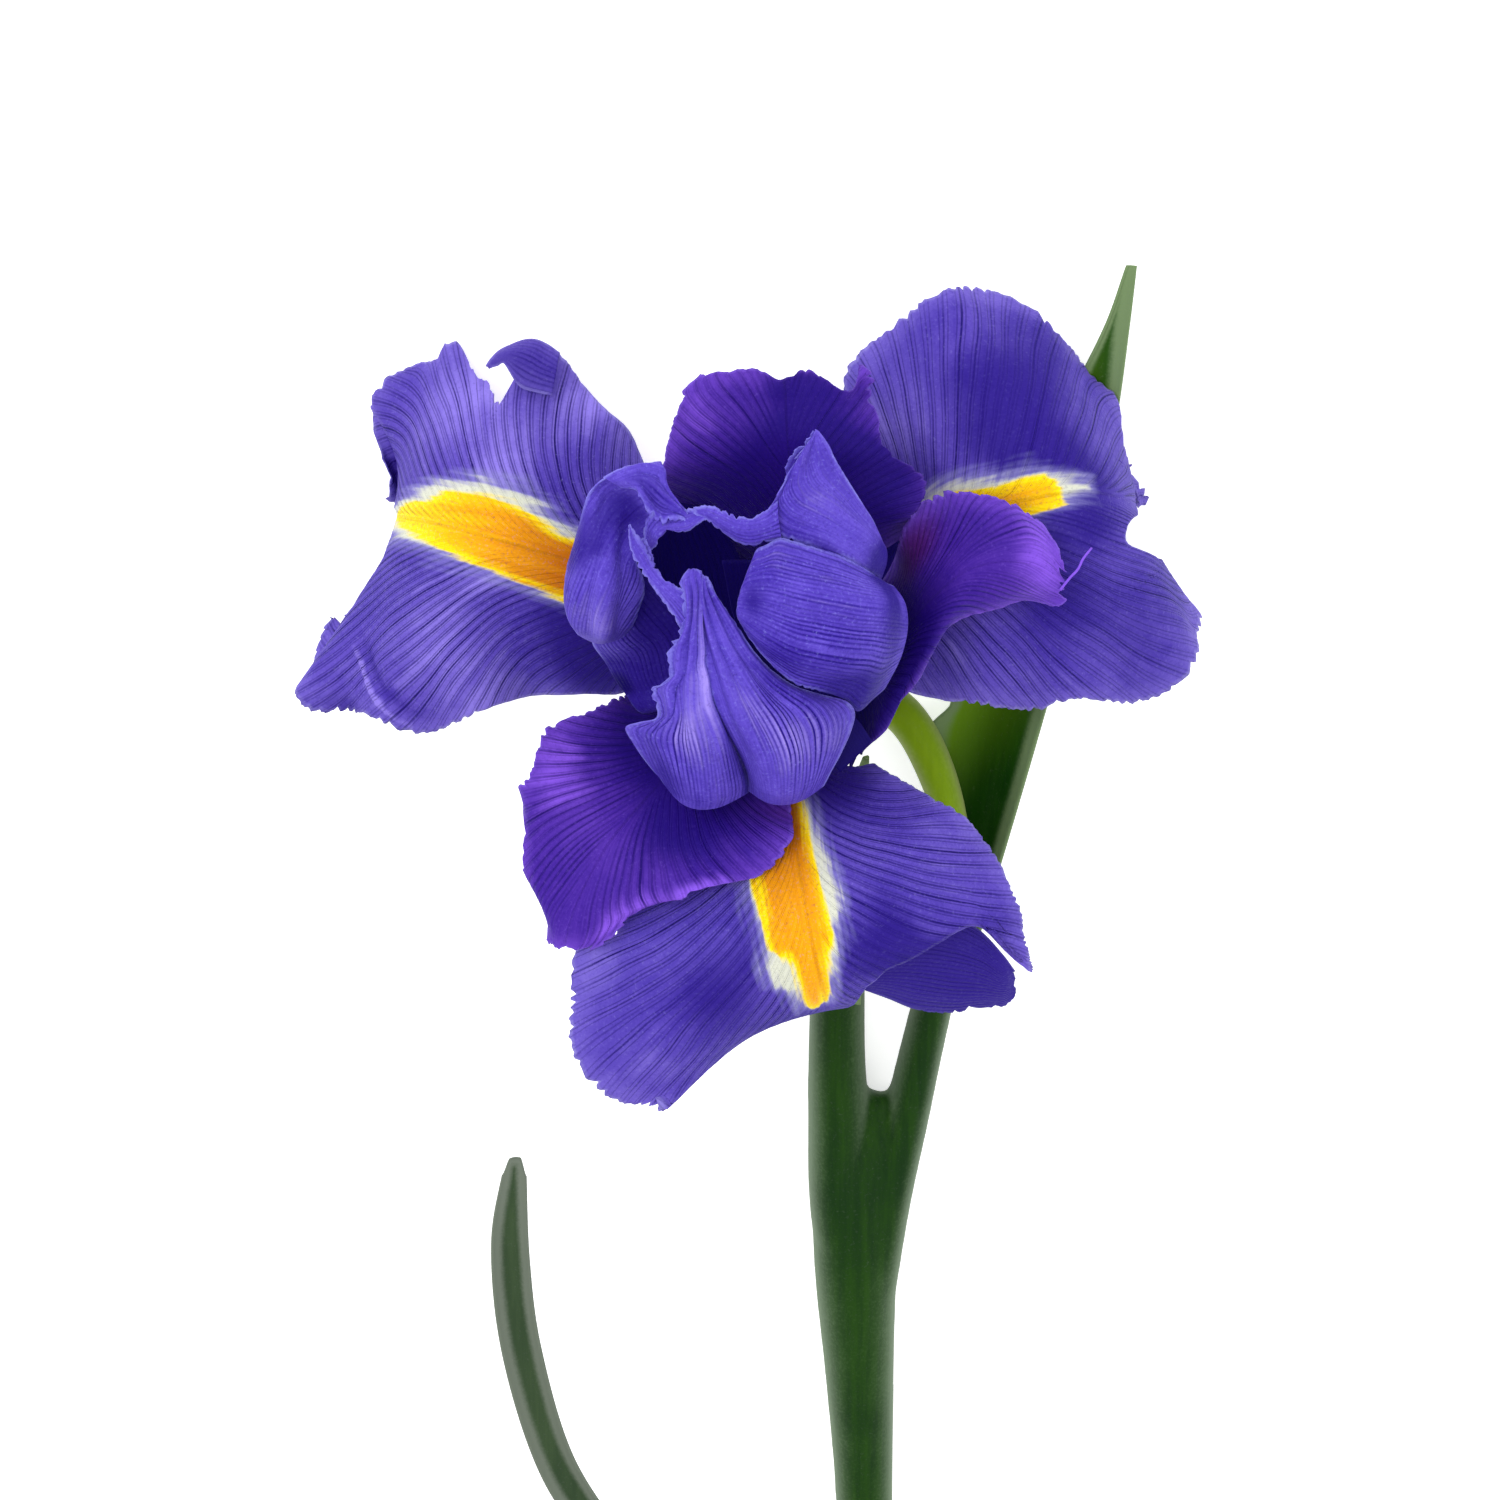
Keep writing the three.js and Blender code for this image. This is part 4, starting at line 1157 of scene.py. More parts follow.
    def bottom(self) -> Blade:
        """The bottom fall, whose right lobe runs out to a point."""
        form = Form(
            rib=((5, -5, -12), (5.5, -11.5, -7), (6.5, -18, -4.5), (8, -25, -7), (9, -29.5, -14),
                 (9, -30.5, -24), (8.5, -29.5, -31)),
            left=((13.5, 0.5, -20), (18, -3, -15), (25.5, -8.5, -13), (30.5, -16.5, -14),
                  (32.5, -25, -16), (31, -29, -24), (20, -31, -30)),
            right=((-7, -2.5, -20), (-13.5, -11.5, -16), (-19, -21.5, -14), (-20.5, -32, -14),
                   (-13.5, -41.3, -17), (-6.3, -37.3, -20), (-2.5, -33.5, -27)),
            foot=Foot(FALL_TURN["bottom"], FALL_CLAW))
        hems = (Hem(-1, ((0.3, 0), (0.325, -34), (0.38, -11), (0.47, -2), (0.52, -5), (0.63, 2),
                         (0.72, -4), (0.8, -1))),
                Hem(1, ((0.53, 0), (0.55, -14), (0.575, 0), (0.65, 0), (0.74, 2), (0.81, -1),
                        (0.89, 15), (0.95, 4), (1, -9))),
                Hem(0, ((-1, -22), (-0.7, -32), (-0.3, -29), (-0.2, -26), (0, 0), (0.2, -1), (0.6, -9),
                        (1, -8))))
        patches = (Patch(0.66, -0.35, 0.05, 0.2, -0.7), Patch(0.67, 0.45, 0.08, 0.2, -0.5),
                   Patch(0.33, -0.5, 0.06, 0.6, -0.9), Patch(0.55, -0.75, 0.12, 0.3, 0.25),
                   Patch(0.9, 0.6, 0.06, 0.4, 0.2), Patch(0.8, 0.2, 0.06, 0.4, -0.7),
                   Patch(0.68, -0.36, 0.12, 0.09, -0.9), Patch(0.74, 0.78, 0.04, 0.12, 0.35),
                   Patch(0.61, 0.29, 0.05, 0.08, -0.3), Patch(0.39, -0.51, 0.06, 0.36, -0.7),
                   Patch(0.45, -0.68, 0.05, 0.19, -0.4), Patch(0.66, 0.42, 0.07, 0.16, -0.6),
                   Patch(0.58, 0.91, 0.05, 0.1, 0.5), Patch(0.65, -0.19, 0.06, 0.09, -0.5),
                   Patch(0.7, -0.55, 0.025, 0.35, -1.2), Patch(0.6, 0.0, 0.1, 0.6, -0.2))
        signal = Stripe(((10, -3, 4), (20, -2.6, 4.5), (27.5, -0.8, 5.2), (37, -1.8, 5.4),
                         (41, -2.3, 5.2), (45, -2.4, 5.1), (46.2, -1.9, 3.7), (47.5, -1.3, 3.2),
                         (53, -0.5, 3.1), (55.2, 0.1, 2.7), (56.5, 1.2, 1.8)))
        pushes = (Push(1.0, 0.9, 0.05, 0.35, (0.0, 1.5, 0.0)),
                  Push(0.84, 0.36, 0.1, 0.36, (0.0, 1.2, 0.0)))
        cream = Stripe(((10, -3, 5), (27, -1.2, 5.6), (34, -3.4, 5.9), (39, -4.8, 6.2),
                        (42.6, -4.7, 5.8), (44.2, -3.4, 5.6), (46, -3.2, 6.2), (47, -2.8, 6.7),
                        (49.6, -2.0, 6.2), (51, -1.2, 4.4), (56, -0.2, 3.0)))
        return self.blade(form, fan=Fan(42, (0.4, 0.4), 0.45), ruffles=(Ruffle(7, 0.9, 2),),
                          teeth_of=(0.4, 1.0, 0.3), hems=hems, patches=patches, signal=signal,
                          pushes=pushes, warmth=(Patch(0.7, 0.1, 0.3, 0.5, -1.5),), cream=cream)

    def bottom_flap(self) -> Blade:
        """The end of the bottom fall, folded under its point and in shade."""
        form = Form(
            rib=((11.7, -25.7, -13), (15.5, -24.6, -14), (19.3, -24.4, -16), (23.1, -24.9, -18),
                 (26.7, -25.7, -20), (29.3, -26.8, -22), (30.9, -26.9, -23)),
            left=((10.8, -24.2, -12), (14.8, -21.1, -12), (18.8, -18.8, -13), (22.9, -18.9, -14),
                  (26.4, -20.7, -16), (29.3, -23.7, -19), (30.7, -25.6, -21)),
            right=((12.8, -27.4, -15), (16, -28.7, -18), (19.3, -30.1, -21), (23.5, -30.6, -24),
                   (27.2, -30.1, -25), (29.9, -29.9, -26), (31.1, -28.6, -25)))
        # Its patch paints the flap's shade.
        return Blade(form, 90, 60, fan=Fan(across=12), teeth_of=(0.0, 0.9, 0.8),
                     tooth_from=0.3, start=60.0,
                     patches=(Patch(0.4, 0.0, 2.0, 3.0, -1.75),))

    def build(self) -> None:
        """Makes the three falls."""
        place_whorl("fall", "petal", Palette.FALL, {
            "left": (self.left(), self.left_curl()),
            "right": (self.right(),),
            "bottom": (self.bottom(), self.bottom_flap()),
        })


@dataclass
class Standards:
    """The three inner petals, and the thread at the right one's torn end."""

    rows: int = 220
    columns: int = 86

    def blade(self, form: Form, **details: object) -> Blade:
        """A standard's blade on the standards' own grid."""
        return Blade(form, self.rows, self.columns, tooth_pitch=1.8, **details)

    def left(self) -> Blade:
        """The left standard, which spreads in front of the bottom fall."""
        form = Form(
            rib=((-2, 5, -19.5), (-7, -0.5, -13), (-11.5, -5.5, -8), (-16, -11, -5.5),
                 (-19.5, -17.5, -6.5), (-21, -22.5, -8.5)),
            left=((-2.8, 4, -16.3), (3.8, -4.5, -8.6), (4.8, -9, -5.7), (0, -14.5, -4.5), (-9, -17, -6),
                  (-18, -22, -8.5)),
            right=((-7, 8.3, -20.5), (-14.3, 5.8, -13.8), (-21.5, 3, -9), (-25.5, -4.5, -7.5),
                   (-25, -13, -9), (-23, -21.5, -10)),
            foot=Foot(STANDARD_TURN["left"], STANDARD_CLAW))
        hems = (Hem(-1, ((0.45, 0), (0.475, 7), (0.5, 0), (0.57, -3), (0.675, 3), (0.73, 2),
                         (0.81, -15), (0.875, 2), (0.925, -13), (0.95, 0))),
                Hem(1, ((0.47, 0), (0.5, 5), (0.575, -4), (0.65, 6), (0.72, -4), (0.8, 29), (0.825, 1),
                        (0.875, -2), (0.9, 9), (0.925, 0))))
        patches = (Patch(0.52, 0.1, 0.1, 0.9, -1.4), Patch(0.68, -0.42, 0.08, 0.35, -1.1),
                   Patch(0.62, -0.2, 0.07, 0.4, -0.5), Patch(0.87, -0.66, 0.09, 0.26, 0.6),
                   Patch(0.67, 0.75, 0.07, 0.3, 0.7), Patch(0.7, 0.3, 0.07, 0.33, 0.3),
                   Patch(0.86, 0.5, 0.06, 0.4, -0.1), Patch(0.79, -0.82, 0.05, 0.1, 0.5),
                   Patch(0.83, -0.9, 0.05, 0.07, 0.6), Patch(0.92, -0.73, 0.05, 0.17, 0.4))
        return self.blade(form, fan=Fan(40, (0.4, 0.4), 0.5), ruffles=(Ruffle(6, 0.7, 0),),
                          teeth_of=(0.5, 0.9, 0.9), hems=hems, patches=patches,
                          warmth=(Patch(0.56, -0.95, 0.05, 0.3, 0.5),))

    def right(self) -> Blade:
        """The right standard, which folds forward over the right fall."""
        form = Form(
            rib=((12.5, 10.5, -20.5), (16.5, 12.5, -13), (20.5, 17, -7), (25, 20.5, -3), (30.5, 21, -2),
                 (35.5, 18.5, -6)),
            left=((11.5, 13.5, -19.3), (16, 18.5, -14), (18.5, 24, -8), (22.5, 28.5, -4),
                  (29.5, 28, -3), (35.5, 20, -5)),
            right=((11.5, 1.8, -17.6), (13.5, 0.4, -15), (17.5, 6, -11.3), (21.5, 12.5, -10),
                   (28.5, 16, -9), (35, 16.5, -8)),
            foot=Foot(STANDARD_TURN["right"], STANDARD_CLAW))
        hems = (Hem(-1, ((0.39, 0), (0.45, 32), (0.475, 27), (0.53, 39), (0.61, 15), (0.69, 19),
                         (0.74, 8), (0.81, -9), (0.85, -9), (0.9, 3), (0.94, 12), (1, 10))),
                Hem(1, ((0.38, 0), (0.4, 30), (0.43, 6), (0.5, 3), (0.59, 7), (0.7, 0), (0.81, -15),
                        (0.87, -13), (0.975, 0))),
                Hem(0, ((-1, 0), (-0.4, -2), (-0.2, 0), (0, -2), (0.2, 0), (0.4, -1), (0.75, 1), (1, 0))))
        patches = (Patch(0.45, 0.2, 0.15, 1.2, -1.4), Patch(0.62, 0.4, 0.1, 0.6, -0.9),
                   Patch(0.93, -0.3, 0.08, 1.0, 0.8), Patch(0.78, -0.4, 0.06, 0.35, -0.5),
                   Patch(0.79, 0.98, 0.08, 0.13, 0.7), Patch(0.45, 0.68, 0.16, 0.3, -0.8))
        return self.blade(form, fan=Fan(40, (0.45, 0.45), 0.5), ruffles=(Ruffle(6, 0.5, 1),),
                          teeth_of=(0.7, 0.2, 0.5), tooth_from=0.55, hems=hems, patches=patches,
                          warmth=(Patch(0.6, -0.85, 0.09, 0.35, 1.0),))

    def right_thread(self) -> Blade:
        """The thread that stands off the right standard's torn end."""
        form = Form(
            rib=((34.9, 18, -5.8), (35.9, 19.3, -5), (36.8, 20.3, -4.5), (37.4, 21.5, -4.2),
                 (38.3, 22.7, -4)),
            left=((34.8, 18.1, -5.8), (35.8, 19.4, -5), (36.7, 20.4, -4.5), (37.3, 21.6, -4.2),
                  (38.2, 22.7, -4)),
            right=((35, 17.9, -5.8), (36, 19.2, -5), (36.9, 20.2, -4.5), (37.5, 21.4, -4.2),
                   (38.4, 22.6, -4)))
        return Blade(form, 40, 8, fan=Fan(across=1), teeth_of=(0.1, 0.1, 0.0),
                     tooth_pitch=0.9, tooth_from=0.0, thickness=0.3, start=60.0,
                     patches=(Patch(0.5, 0.0, 2.0, 3.0, 1.2),))

    def top(self) -> Blade:
        """The top standard behind the style arms, darkened by painted shade, partly its own deeper
        colour.
        """
        form = Form(
            rib=((2, 19.5, -19), (4, 24, -9), (4.5, 29.5, -1), (4, 34.5, 4), (3.5, 42, 5)),
            left=((-6, 18, -20), (-9.5, 22.3, -12), (-10.5, 29, -4), (-9.5, 35.5, 1), (-5, 41.3, 4)),
            right=((7, 20, -20), (16, 24.5, -10.5), (19.5, 29.5, -4), (16.5, 35, 0), (13, 41, 3)),
            foot=Foot(STANDARD_TURN["top"], STANDARD_CLAW))
        hems = (Hem(-1, ((0.53, 0), (0.55, -12), (0.7, -5), (0.8, -6), (0.925, -2), (0.975, 12), (1, 8))),
                Hem(1, ((0.5, 0), (0.55, 28), (0.64, -3), (0.72, 2), (0.84, -20), (0.9, -10),
                        (0.925, -13), (1, 0))),
                Hem(0, ((-0.9, 0), (-0.4, 0), (0, -2), (0.3, 0), (0.7, -4), (1, 3))))
        patches = (Patch(0.66, 0.0, 0.15, 1.2, -1.6), Patch(0.82, 0.12, 0.1, 0.5, -1.2),
                   Patch(0.8, 0.65, 0.08, 0.35, -0.9), Patch(0.88, -0.78, 0.1, 0.22, 0.5),
                   Patch(0.9, 0.76, 0.04, 0.17, 0.5), Patch(0.97, -0.3, 0.025, 0.15, 0.3),
                   Patch(0.97, 0.19, 0.03, 0.55, -0.8), Patch(0.87, -0.56, 0.05, 0.17, 0.3),
                   Patch(0.71, -0.78, 0.06, 0.12, 0.3), Patch(0.93, 0.25, 0.1, 0.5, -0.6),
                   Patch(0.93, 0.8, 0.05, 0.25, -0.5))
        pushes = (Push(0.97, 0.98, 0.05, 0.12, (0.6, 0.8, 1.5)),
                  Push(0.98, -0.05, 0.04, 0.1, (0.0, -0.4, 1.2)))
        return self.blade(form, fan=Fan(40, (0.35, 0.35), 0.5), ruffles=(Ruffle(6, 0.7, 2),),
                          teeth_of=(0.35, 0.7, 0.4), tooth_from=0.5, hems=hems, patches=patches,
                          pushes=pushes)

    def build(self) -> None:
        """Makes the three standards."""
        place_whorl("standard", "petal", Palette.STANDARD, {
            "left": (self.left(),),
            "right": (self.right(), self.right_thread()),
            "top": (self.top(),),
        })


# What blades of a kind share: the arms' torn edges, the thin strips, and the sheets painted with the
# throat's shade.
CREST = {"tooth_pitch": 1.5, "tooth_from": 0.45}
STRIP = {"tooth_pitch": 1.3, "tooth_from": 0.0, "teeth_of": (0.5, 0.5, 0.3),
         "fan": Fan(across=4), "thickness": 0.4, "start": 40.0}
# Painted shade: a dark patch, and a start that puts the whole sheet in the throat's painted shade.
INNER = {"fan": Fan(across=8), "teeth_of": (0.0, 0.0, 0.0), "start": -60.0,
         "patches": (Patch(0.5, 0.0, 3.0, 4.0, -2.0),)}


@dataclass
class StyleArms:
    """The three style arms: two halves of each arch out from the column to its lip and turn back
    as crest lobes, and their torn edges run out into ribbons, curls and thin tips."""

    rows: int = 150
    columns: int = 60

    def bottom_left(self) -> Blade:
        """The bottom arm's left half, whose torn edge runs up into a thin tip."""
        form = Form(
            rib=((0.5, 5.8, -15), (-1.5, -2, -9), (-5.2, -6.2, -2), (-5.3, -5.5, 3), (-5.5, -3.4, 6.5),
                 (-5.8, -1.1, 9), (-6.1, 0.9, 10.5), (-6.3, 2.5, 11.5), (-6.5, 4.1, 12.5),
                 (-6.6, 5.6, 13), (-6.6, 7.1, 13.6), (-6.5, 8.6, 14.2), (-6.3, 10.2, 14.8),
                 (-6.2, 11.8, 15.4), (-6, 13.5, 16), (-5.9, 15.2, 16.6), (-5.9, 16.9, 17.2),
                 (-6.2, 18.4, 17.6), (-6, 19.4, 17.8)),
            left=((-2, 6.5, -16.5), (-6, 0.5, -10), (-8.7, -4, -4), (-10.2, -2.8, -1), (-11.6, -1.1, 1),
                  (-12.8, 0.7, 3), (-13.7, 2.5, 4), (-12.1, 3.1, 5.5), (-10.2, 3.6, 7.5),
                  (-10.4, 5.3, 9), (-10.9, 6.6, 9.5), (-8.8, 7.8, 11.5), (-9, 9.5, 12.5),
                  (-8.6, 11.3, 13.5), (-7.4, 12.9, 14.5), (-7.1, 14.8, 15.5), (-7.4, 16.7, 16.2),
                  (-7.4, 18.3, 16.8), (-6.6, 19.3, 17.2)),
            right=((2, 5.8, -14.5), (1, -2.2, -8), (-0.2, -4.7, -4), (-0.3, -3.3, 0), (-0.9, -1.3, 3),
                   (-1.6, 0.5, 6), (-2.4, 2.2, 9), (-3, 3.7, 11), (-3.6, 5.2, 12), (-4, 6.7, 12.8),
                   (-4.4, 8.2, 13.4), (-4.7, 9.7, 14), (-4.9, 11.3, 14.6), (-5.2, 12.9, 15.2),
                   (-5.3, 14.6, 15.8), (-5.3, 16.2, 16.4), (-5.1, 17.7, 17), (-5.1, 18.9, 17.6),
                   (-5.2, 19.1, 17.8)),
            foot=Foot(FALL_TURN["bottom"], ARM_FOOT, (0.45, 1.0, -0.1)))
        patches = (Patch(0.44, -0.05, 0.1, 0.4, 0.5), Patch(0.57, 0.41, 0.1, 0.4, 0.3),
                   Patch(0.3, -0.65, 0.07, 0.22, -0.9), Patch(0.28, -0.25, 0.05, 0.28, -0.5),
                   Patch(0.7, 0.0, 0.05, 0.5, -0.3), Patch(0.22, -0.85, 0.05, 0.2, -0.8),
                   Patch(0.38, -0.7, 0.04, 0.16, -0.4), Patch(0.28, 0.98, 0.16, 0.08, -1.5),
                   Patch(0.62, 0.6, 0.2, 0.4, 0.5))
        return Blade(form, self.rows, self.columns, fan=Fan(across=13, raised=0.05),
                     teeth_of=(0.6, 0.1, 0.5),
                     pleats=(Pleat(3.2, 0.35, 0.8, 0.3, 1.0),),
                     creases=(Crease((0.42, -0.62), (0.62, -0.35), 0.02, 0.7),),
                     patches=patches, **CREST)

    def bottom_right(self) -> Blade:
        """The bottom arm's right half, which meets the left one at the tip."""
        form = Form(
            rib=((2, 5.8, -15), (4.5, -1.8, -9), (3.8, -5.7, -2), (3.9, -5.1, 3), (3.9, -3.1, 6.5),
                 (3.6, -0.8, 9), (2.8, 1.4, 10.8), (1.7, 3.5, 12), (0.5, 5.3, 12.8), (-0.6, 7.1, 13.4),
                 (-1.7, 9.1, 14), (-2.7, 11, 14.6), (-3.5, 12.9, 15.2), (-4.2, 14.8, 16),
                 (-4.7, 16.4, 16.8), (-4.9, 17.6, 17.4), (-4.9, 18.7, 17.8)),
            left=((0.5, 5.8, -14.5), (0.8, -2.2, -8), (-0.1, -4.5, -4), (-0.2, -3.1, 0),
                  (-0.7, -1.3, 3.5), (-1.4, 0.5, 6.5), (-2.3, 2.3, 9), (-3, 3.8, 11), (-3.6, 5.3, 12),
                  (-4.1, 6.8, 12.8), (-4.5, 8.4, 13.4), (-4.8, 10, 14), (-5.2, 11.8, 14.6),
                  (-5.4, 13.8, 15.3), (-5.4, 15.7, 16.2), (-5.2, 17.3, 17), (-5.3, 18.8, 17.6)),
            right=((4.8, 6, -16.5), (9, 0, -10), (8.1, -4, -4), (9.2, -2, -2), (10.3, 0.1, 0),
                   (11.3, 2.2, 1.5), (11.7, 4.1, 3), (10.6, 5.5, 4.5), (7.7, 6.3, 6), (4.9, 7.2, 8),
                   (2.4, 8.9, 10), (0.4, 11, 12), (-1.1, 13.3, 13.5), (-2.5, 15.3, 14.8),
                   (-3.6, 16.9, 16), (-4.1, 17.9, 17), (-4.4, 18.4, 17.6)),
            foot=Foot(FALL_TURN["bottom"], ARM_FOOT, (-0.45, 0.1, -1.0)))
        patches = (Patch(0.36, -1.0, 0.14, 0.1, -1.6), Patch(0.43, 0.18, 0.08, 0.36, 0.5),
                   Patch(0.56, -0.18, 0.07, 0.3, 0.3), Patch(0.4, 0.71, 0.06, 0.19, 0.2),
                   Patch(0.8, 0.9, 0.09, 0.4, -0.6), Patch(0.62, 0.6, 0.08, 0.25, -0.4))
        return Blade(form, self.rows, self.columns, fan=Fan(across=15, raised=0.05),
                     teeth_of=(0.1, 0.15, 0.5),
                     pleats=(Pleat(3.6, 0.3, 0.2, 0.3, 1.0),),
                     patches=patches, **CREST)

    def bottom_ribbon(self) -> Blade:
        """The ribbon that the bottom arm's left edge runs out into."""
        form = Form(
            rib=((-6.4, 14.5, 15.4), (-8.1, 16.3, 14.8), (-9.5, 17.7, 14.2), (-10.8, 19.2, 14),
                 (-11.6, 20.6, 14), (-12.4, 21.9, 14.2), (-12.8, 23.1, 14.5), (-13, 24.2, 14.8)),
            left=((-7.1, 12.5, 14), (-8.6, 15, 13.6), (-10, 17, 13.4), (-11.3, 18.8, 13.4),
                  (-12.3, 20.3, 13.6), (-12.8, 21.6, 14), (-13, 22.9, 14.4), (-13, 24.1, 14.8)),
            right=((-6.4, 17, 15.4), (-8, 17.6, 14.6), (-9.3, 18.6, 14), (-10.1, 19.6, 13.6),
                   (-10.9, 21.1, 13.6), (-11.7, 22.5, 14), (-12.5, 23.6, 14.4), (-12.9, 24.3, 14.8)))
        return Blade(form, 70, 18, **STRIP)

    def bottom_prong(self) -> Blade:
        """The second prong at the ribbon's end."""
        form = Form(
            rib=((-10.7, 19.3, 13.4), (-11.3, 20.9, 13.2), (-11.6, 22, 13), (-11.5, 22.8, 12.6)),
            left=((-11.2, 19.1, 13), (-12, 20.5, 13), (-12.1, 21.7, 13), (-11.8, 22.6, 12.6)),
            right=((-10.3, 19.8, 13), (-10.7, 21.4, 13), (-11.1, 22.4, 13), (-11, 22.7, 12.6)))
        return Blade(form, 40, 14, **STRIP)

    def right_lower(self) -> Blade:
        """The right arm's lower half, a round bulge."""
        form = Form(
            rib=((7.5, 13.8, -15.5), (13.3, 12.5, -8), (17.1, 13.4, -1), (16.5, 13.3, 4),
                 (15.3, 13.3, 8), (13.6, 13.4, 10.5), (11.6, 13.5, 12.2), (9.5, 13.8, 13.4),
                 (7.3, 14.2, 14.2), (5.2, 14.6, 14.8), (3.3, 15.2, 15.1), (1.8, 15.7, 15.2),
                 (0.5, 16, 15), (-0.5, 16.1, 14.6), (-1.3, 16, 14.2)),
            left=((7.2, 15.2, -15), (13, 15.7, -7), (15.9, 17.8, 0), (15, 18.4, 3.5), (13.9, 19, 6),
                  (12.7, 19.7, 8), (11.2, 20.5, 9.4), (9.6, 21.2, 10.6), (7.8, 21.7, 11.6),
                  (6.1, 22.2, 12.4), (4.5, 22.6, 13), (3.2, 22.9, 13.4), (1.9, 22.2, 13.6),
                  (0.8, 21.7, 13.8), (0.3, 20.5, 13.8)),
            right=((8.5, 11.3, -17), (13.3, 9, -9.5), (15.2, 7.4, -2.5), (13.6, 5.6, -1), (12, 4.2, 1),
                   (10.6, 5.3, 4), (9.1, 5.9, 6), (7.5, 6.3, 7.6), (6, 6.6, 8.8), (4.6, 7.2, 9.8),
                   (3.1, 8.3, 10.6), (1.7, 9.6, 11.4), (0.5, 11, 12), (-0.3, 12.3, 12.4),
                   (-1, 13.9, 12.8)),
            foot=Foot(FALL_TURN["right"], ARM_FOOT, (0.45, -0.1, 1.0)))
        patches = (Patch(0.45, 0.85, 0.12, 0.28, -1.3), Patch(0.2, 0.1, 0.05, 0.8, -0.9),
                   Patch(0.7, 0.68, 0.12, 0.32, -0.7), Patch(0.9, 0.0, 0.08, 0.38, -0.7),
                   Patch(0.3, -0.9, 0.2, 0.15, -0.6), Patch(0.83, -0.69, 0.1, 0.24, 0.2),
                   Patch(0.5, 0.3, 0.1, 0.25, -0.4), Patch(0.39, 1.0, 0.12, 0.14, -1.0),
                   Patch(0.2, -0.1, 0.06, 1.0, -0.9), Patch(0.39, 0.67, 0.07, 0.21, -0.5),
                   Patch(0.36, -0.6, 0.05, 0.6, -0.8), Patch(0.33, 0.3, 0.05, 0.5, -0.6),
                   Patch(0.87, 0.0, 0.08, 0.7, -0.35), Patch(0.37, -0.5, 0.05, 0.8, -0.7))
        return Blade(form, self.rows, self.columns, fan=Fan(across=17, raised=0.03),
                     teeth_of=(0.1, 0.35, 0.7),
                     pleats=(Pleat(2.3, 0.3, 1.0, 0.3, 1.0),),
                     patches=patches, **CREST)

    def right_upper(self) -> Blade:
        """The right arm's upper half, which runs up into a peak."""
        form = Form(
            rib=((7, 16, -15.5), (12.5, 16.8, -7.5), (14.9, 20.4, 1), (14.1, 22.2, 5.5),
                 (12.5, 23.7, 8.8), (10.7, 25, 10.8), (9.1, 26.2, 12.2), (7.4, 27.2, 13.2),
                 (6.1, 28.1, 14), (5.5, 29.4, 14.6), (5.5, 30.5, 15.2), (5.8, 31.6, 15.7),
                 (6.3, 32.7, 16), (6.8, 33.7, 16.3)),
            left=((7.2, 14.8, -15), (12.8, 15.5, -7), (14.2, 18.8, 2), (12.9, 19.4, 6),
                  (11.2, 20.3, 8.4), (9.4, 21.1, 9.8), (7.4, 21.8, 11), (5.3, 22.4, 11.8),
                  (3.4, 23, 12.4), (1.7, 24.6, 13), (2.8, 27.2, 14), (3.8, 29.1, 14.8),
                  (4.5, 30.9, 15.4), (6.2, 33, 16)),
            right=((6.5, 18.3, -17), (12.8, 19.8, -9.5), (15, 21.8, 0), (14.5, 23.1, 3),
                   (13.5, 24.6, 6), (12.5, 26.1, 8.4), (11.6, 27.5, 10.4), (10.7, 28.9, 12),
                   (9.8, 30.3, 13.4), (9, 31.6, 14.6), (8.4, 32.8, 15.4), (7.8, 33.6, 15.9),
                   (7.3, 34.2, 16.2), (7, 34.4, 16.4)),
            foot=Foot(FALL_TURN["right"], ARM_FOOT, (-0.45, 0.1, -1.0)))
        hems = (Hem(-1, ((0.72, 0), (0.74, 10), (0.76, -8), (0.78, 12), (0.8, -10), (0.82, 10),
                         (0.84, -16), (0.88, 5), (0.905, -42), (0.925, -42), (0.945, -5), (0.96, -10),
                         (0.98, -40), (1, 0))),)
        patches = (Patch(0.3, -0.2, 0.06, 1.2, -0.9), Patch(0.68, -0.92, 0.08, 0.22, -0.6),
                   Patch(0.5, -0.98, 0.12, 0.16, -0.8), Patch(0.44, 0.3, 0.06, 0.5, -0.2),
                   Patch(0.31, -0.3, 0.05, 1.0, -0.8), Patch(0.53, -0.92, 0.07, 0.25, -0.4),
                   Patch(0.59, 0.0, 0.08, 0.5, 0.25))
        return Blade(form, self.rows, self.columns, fan=Fan(across=14, raised=0.03),
                     teeth_of=(0.5, 0.05, 0.3), tooth_pitch=1.3,
                     tooth_from=0.42, hems=hems,
                     pleats=(Pleat(2.0, 0.3, 2.0, 0.3, 1.0),),
                     patches=patches)

    def right_ribbon(self) -> Blade:
        """The ribbon from the right arm's peak across the throat."""
        form = Form(
            rib=((3.1, 24.7, 14), (1.7, 24, 14), (0.2, 23.6, 14.2), (-1.2, 23.7, 14.4),
                 (-2.5, 24.3, 14.4), (-3.8, 25.1, 14.4), (-4.8, 25.6, 14.2), (-6.1, 25.8, 14)),
            left=((3.5, 22.7, 12.6), (1.9, 22.5, 12.8), (0.4, 22.1, 13), (-1.1, 22.4, 13),
                  (-2.4, 23.2, 13.2), (-3.7, 24.1, 13.4), (-4.7, 24.9, 13.6), (-6, 25.4, 13.8)),
            right=((3, 26.9, 14), (1.5, 25.6, 14), (0.1, 25.1, 14), (-1.3, 25.1, 14.2),
                   (-2.6, 25.6, 14.4), (-3.8, 26.1, 14.4), (-4.8, 26.3, 14.4), (-6.1, 26.1, 14.2)))
        return Blade(form, 80, 24, **STRIP)

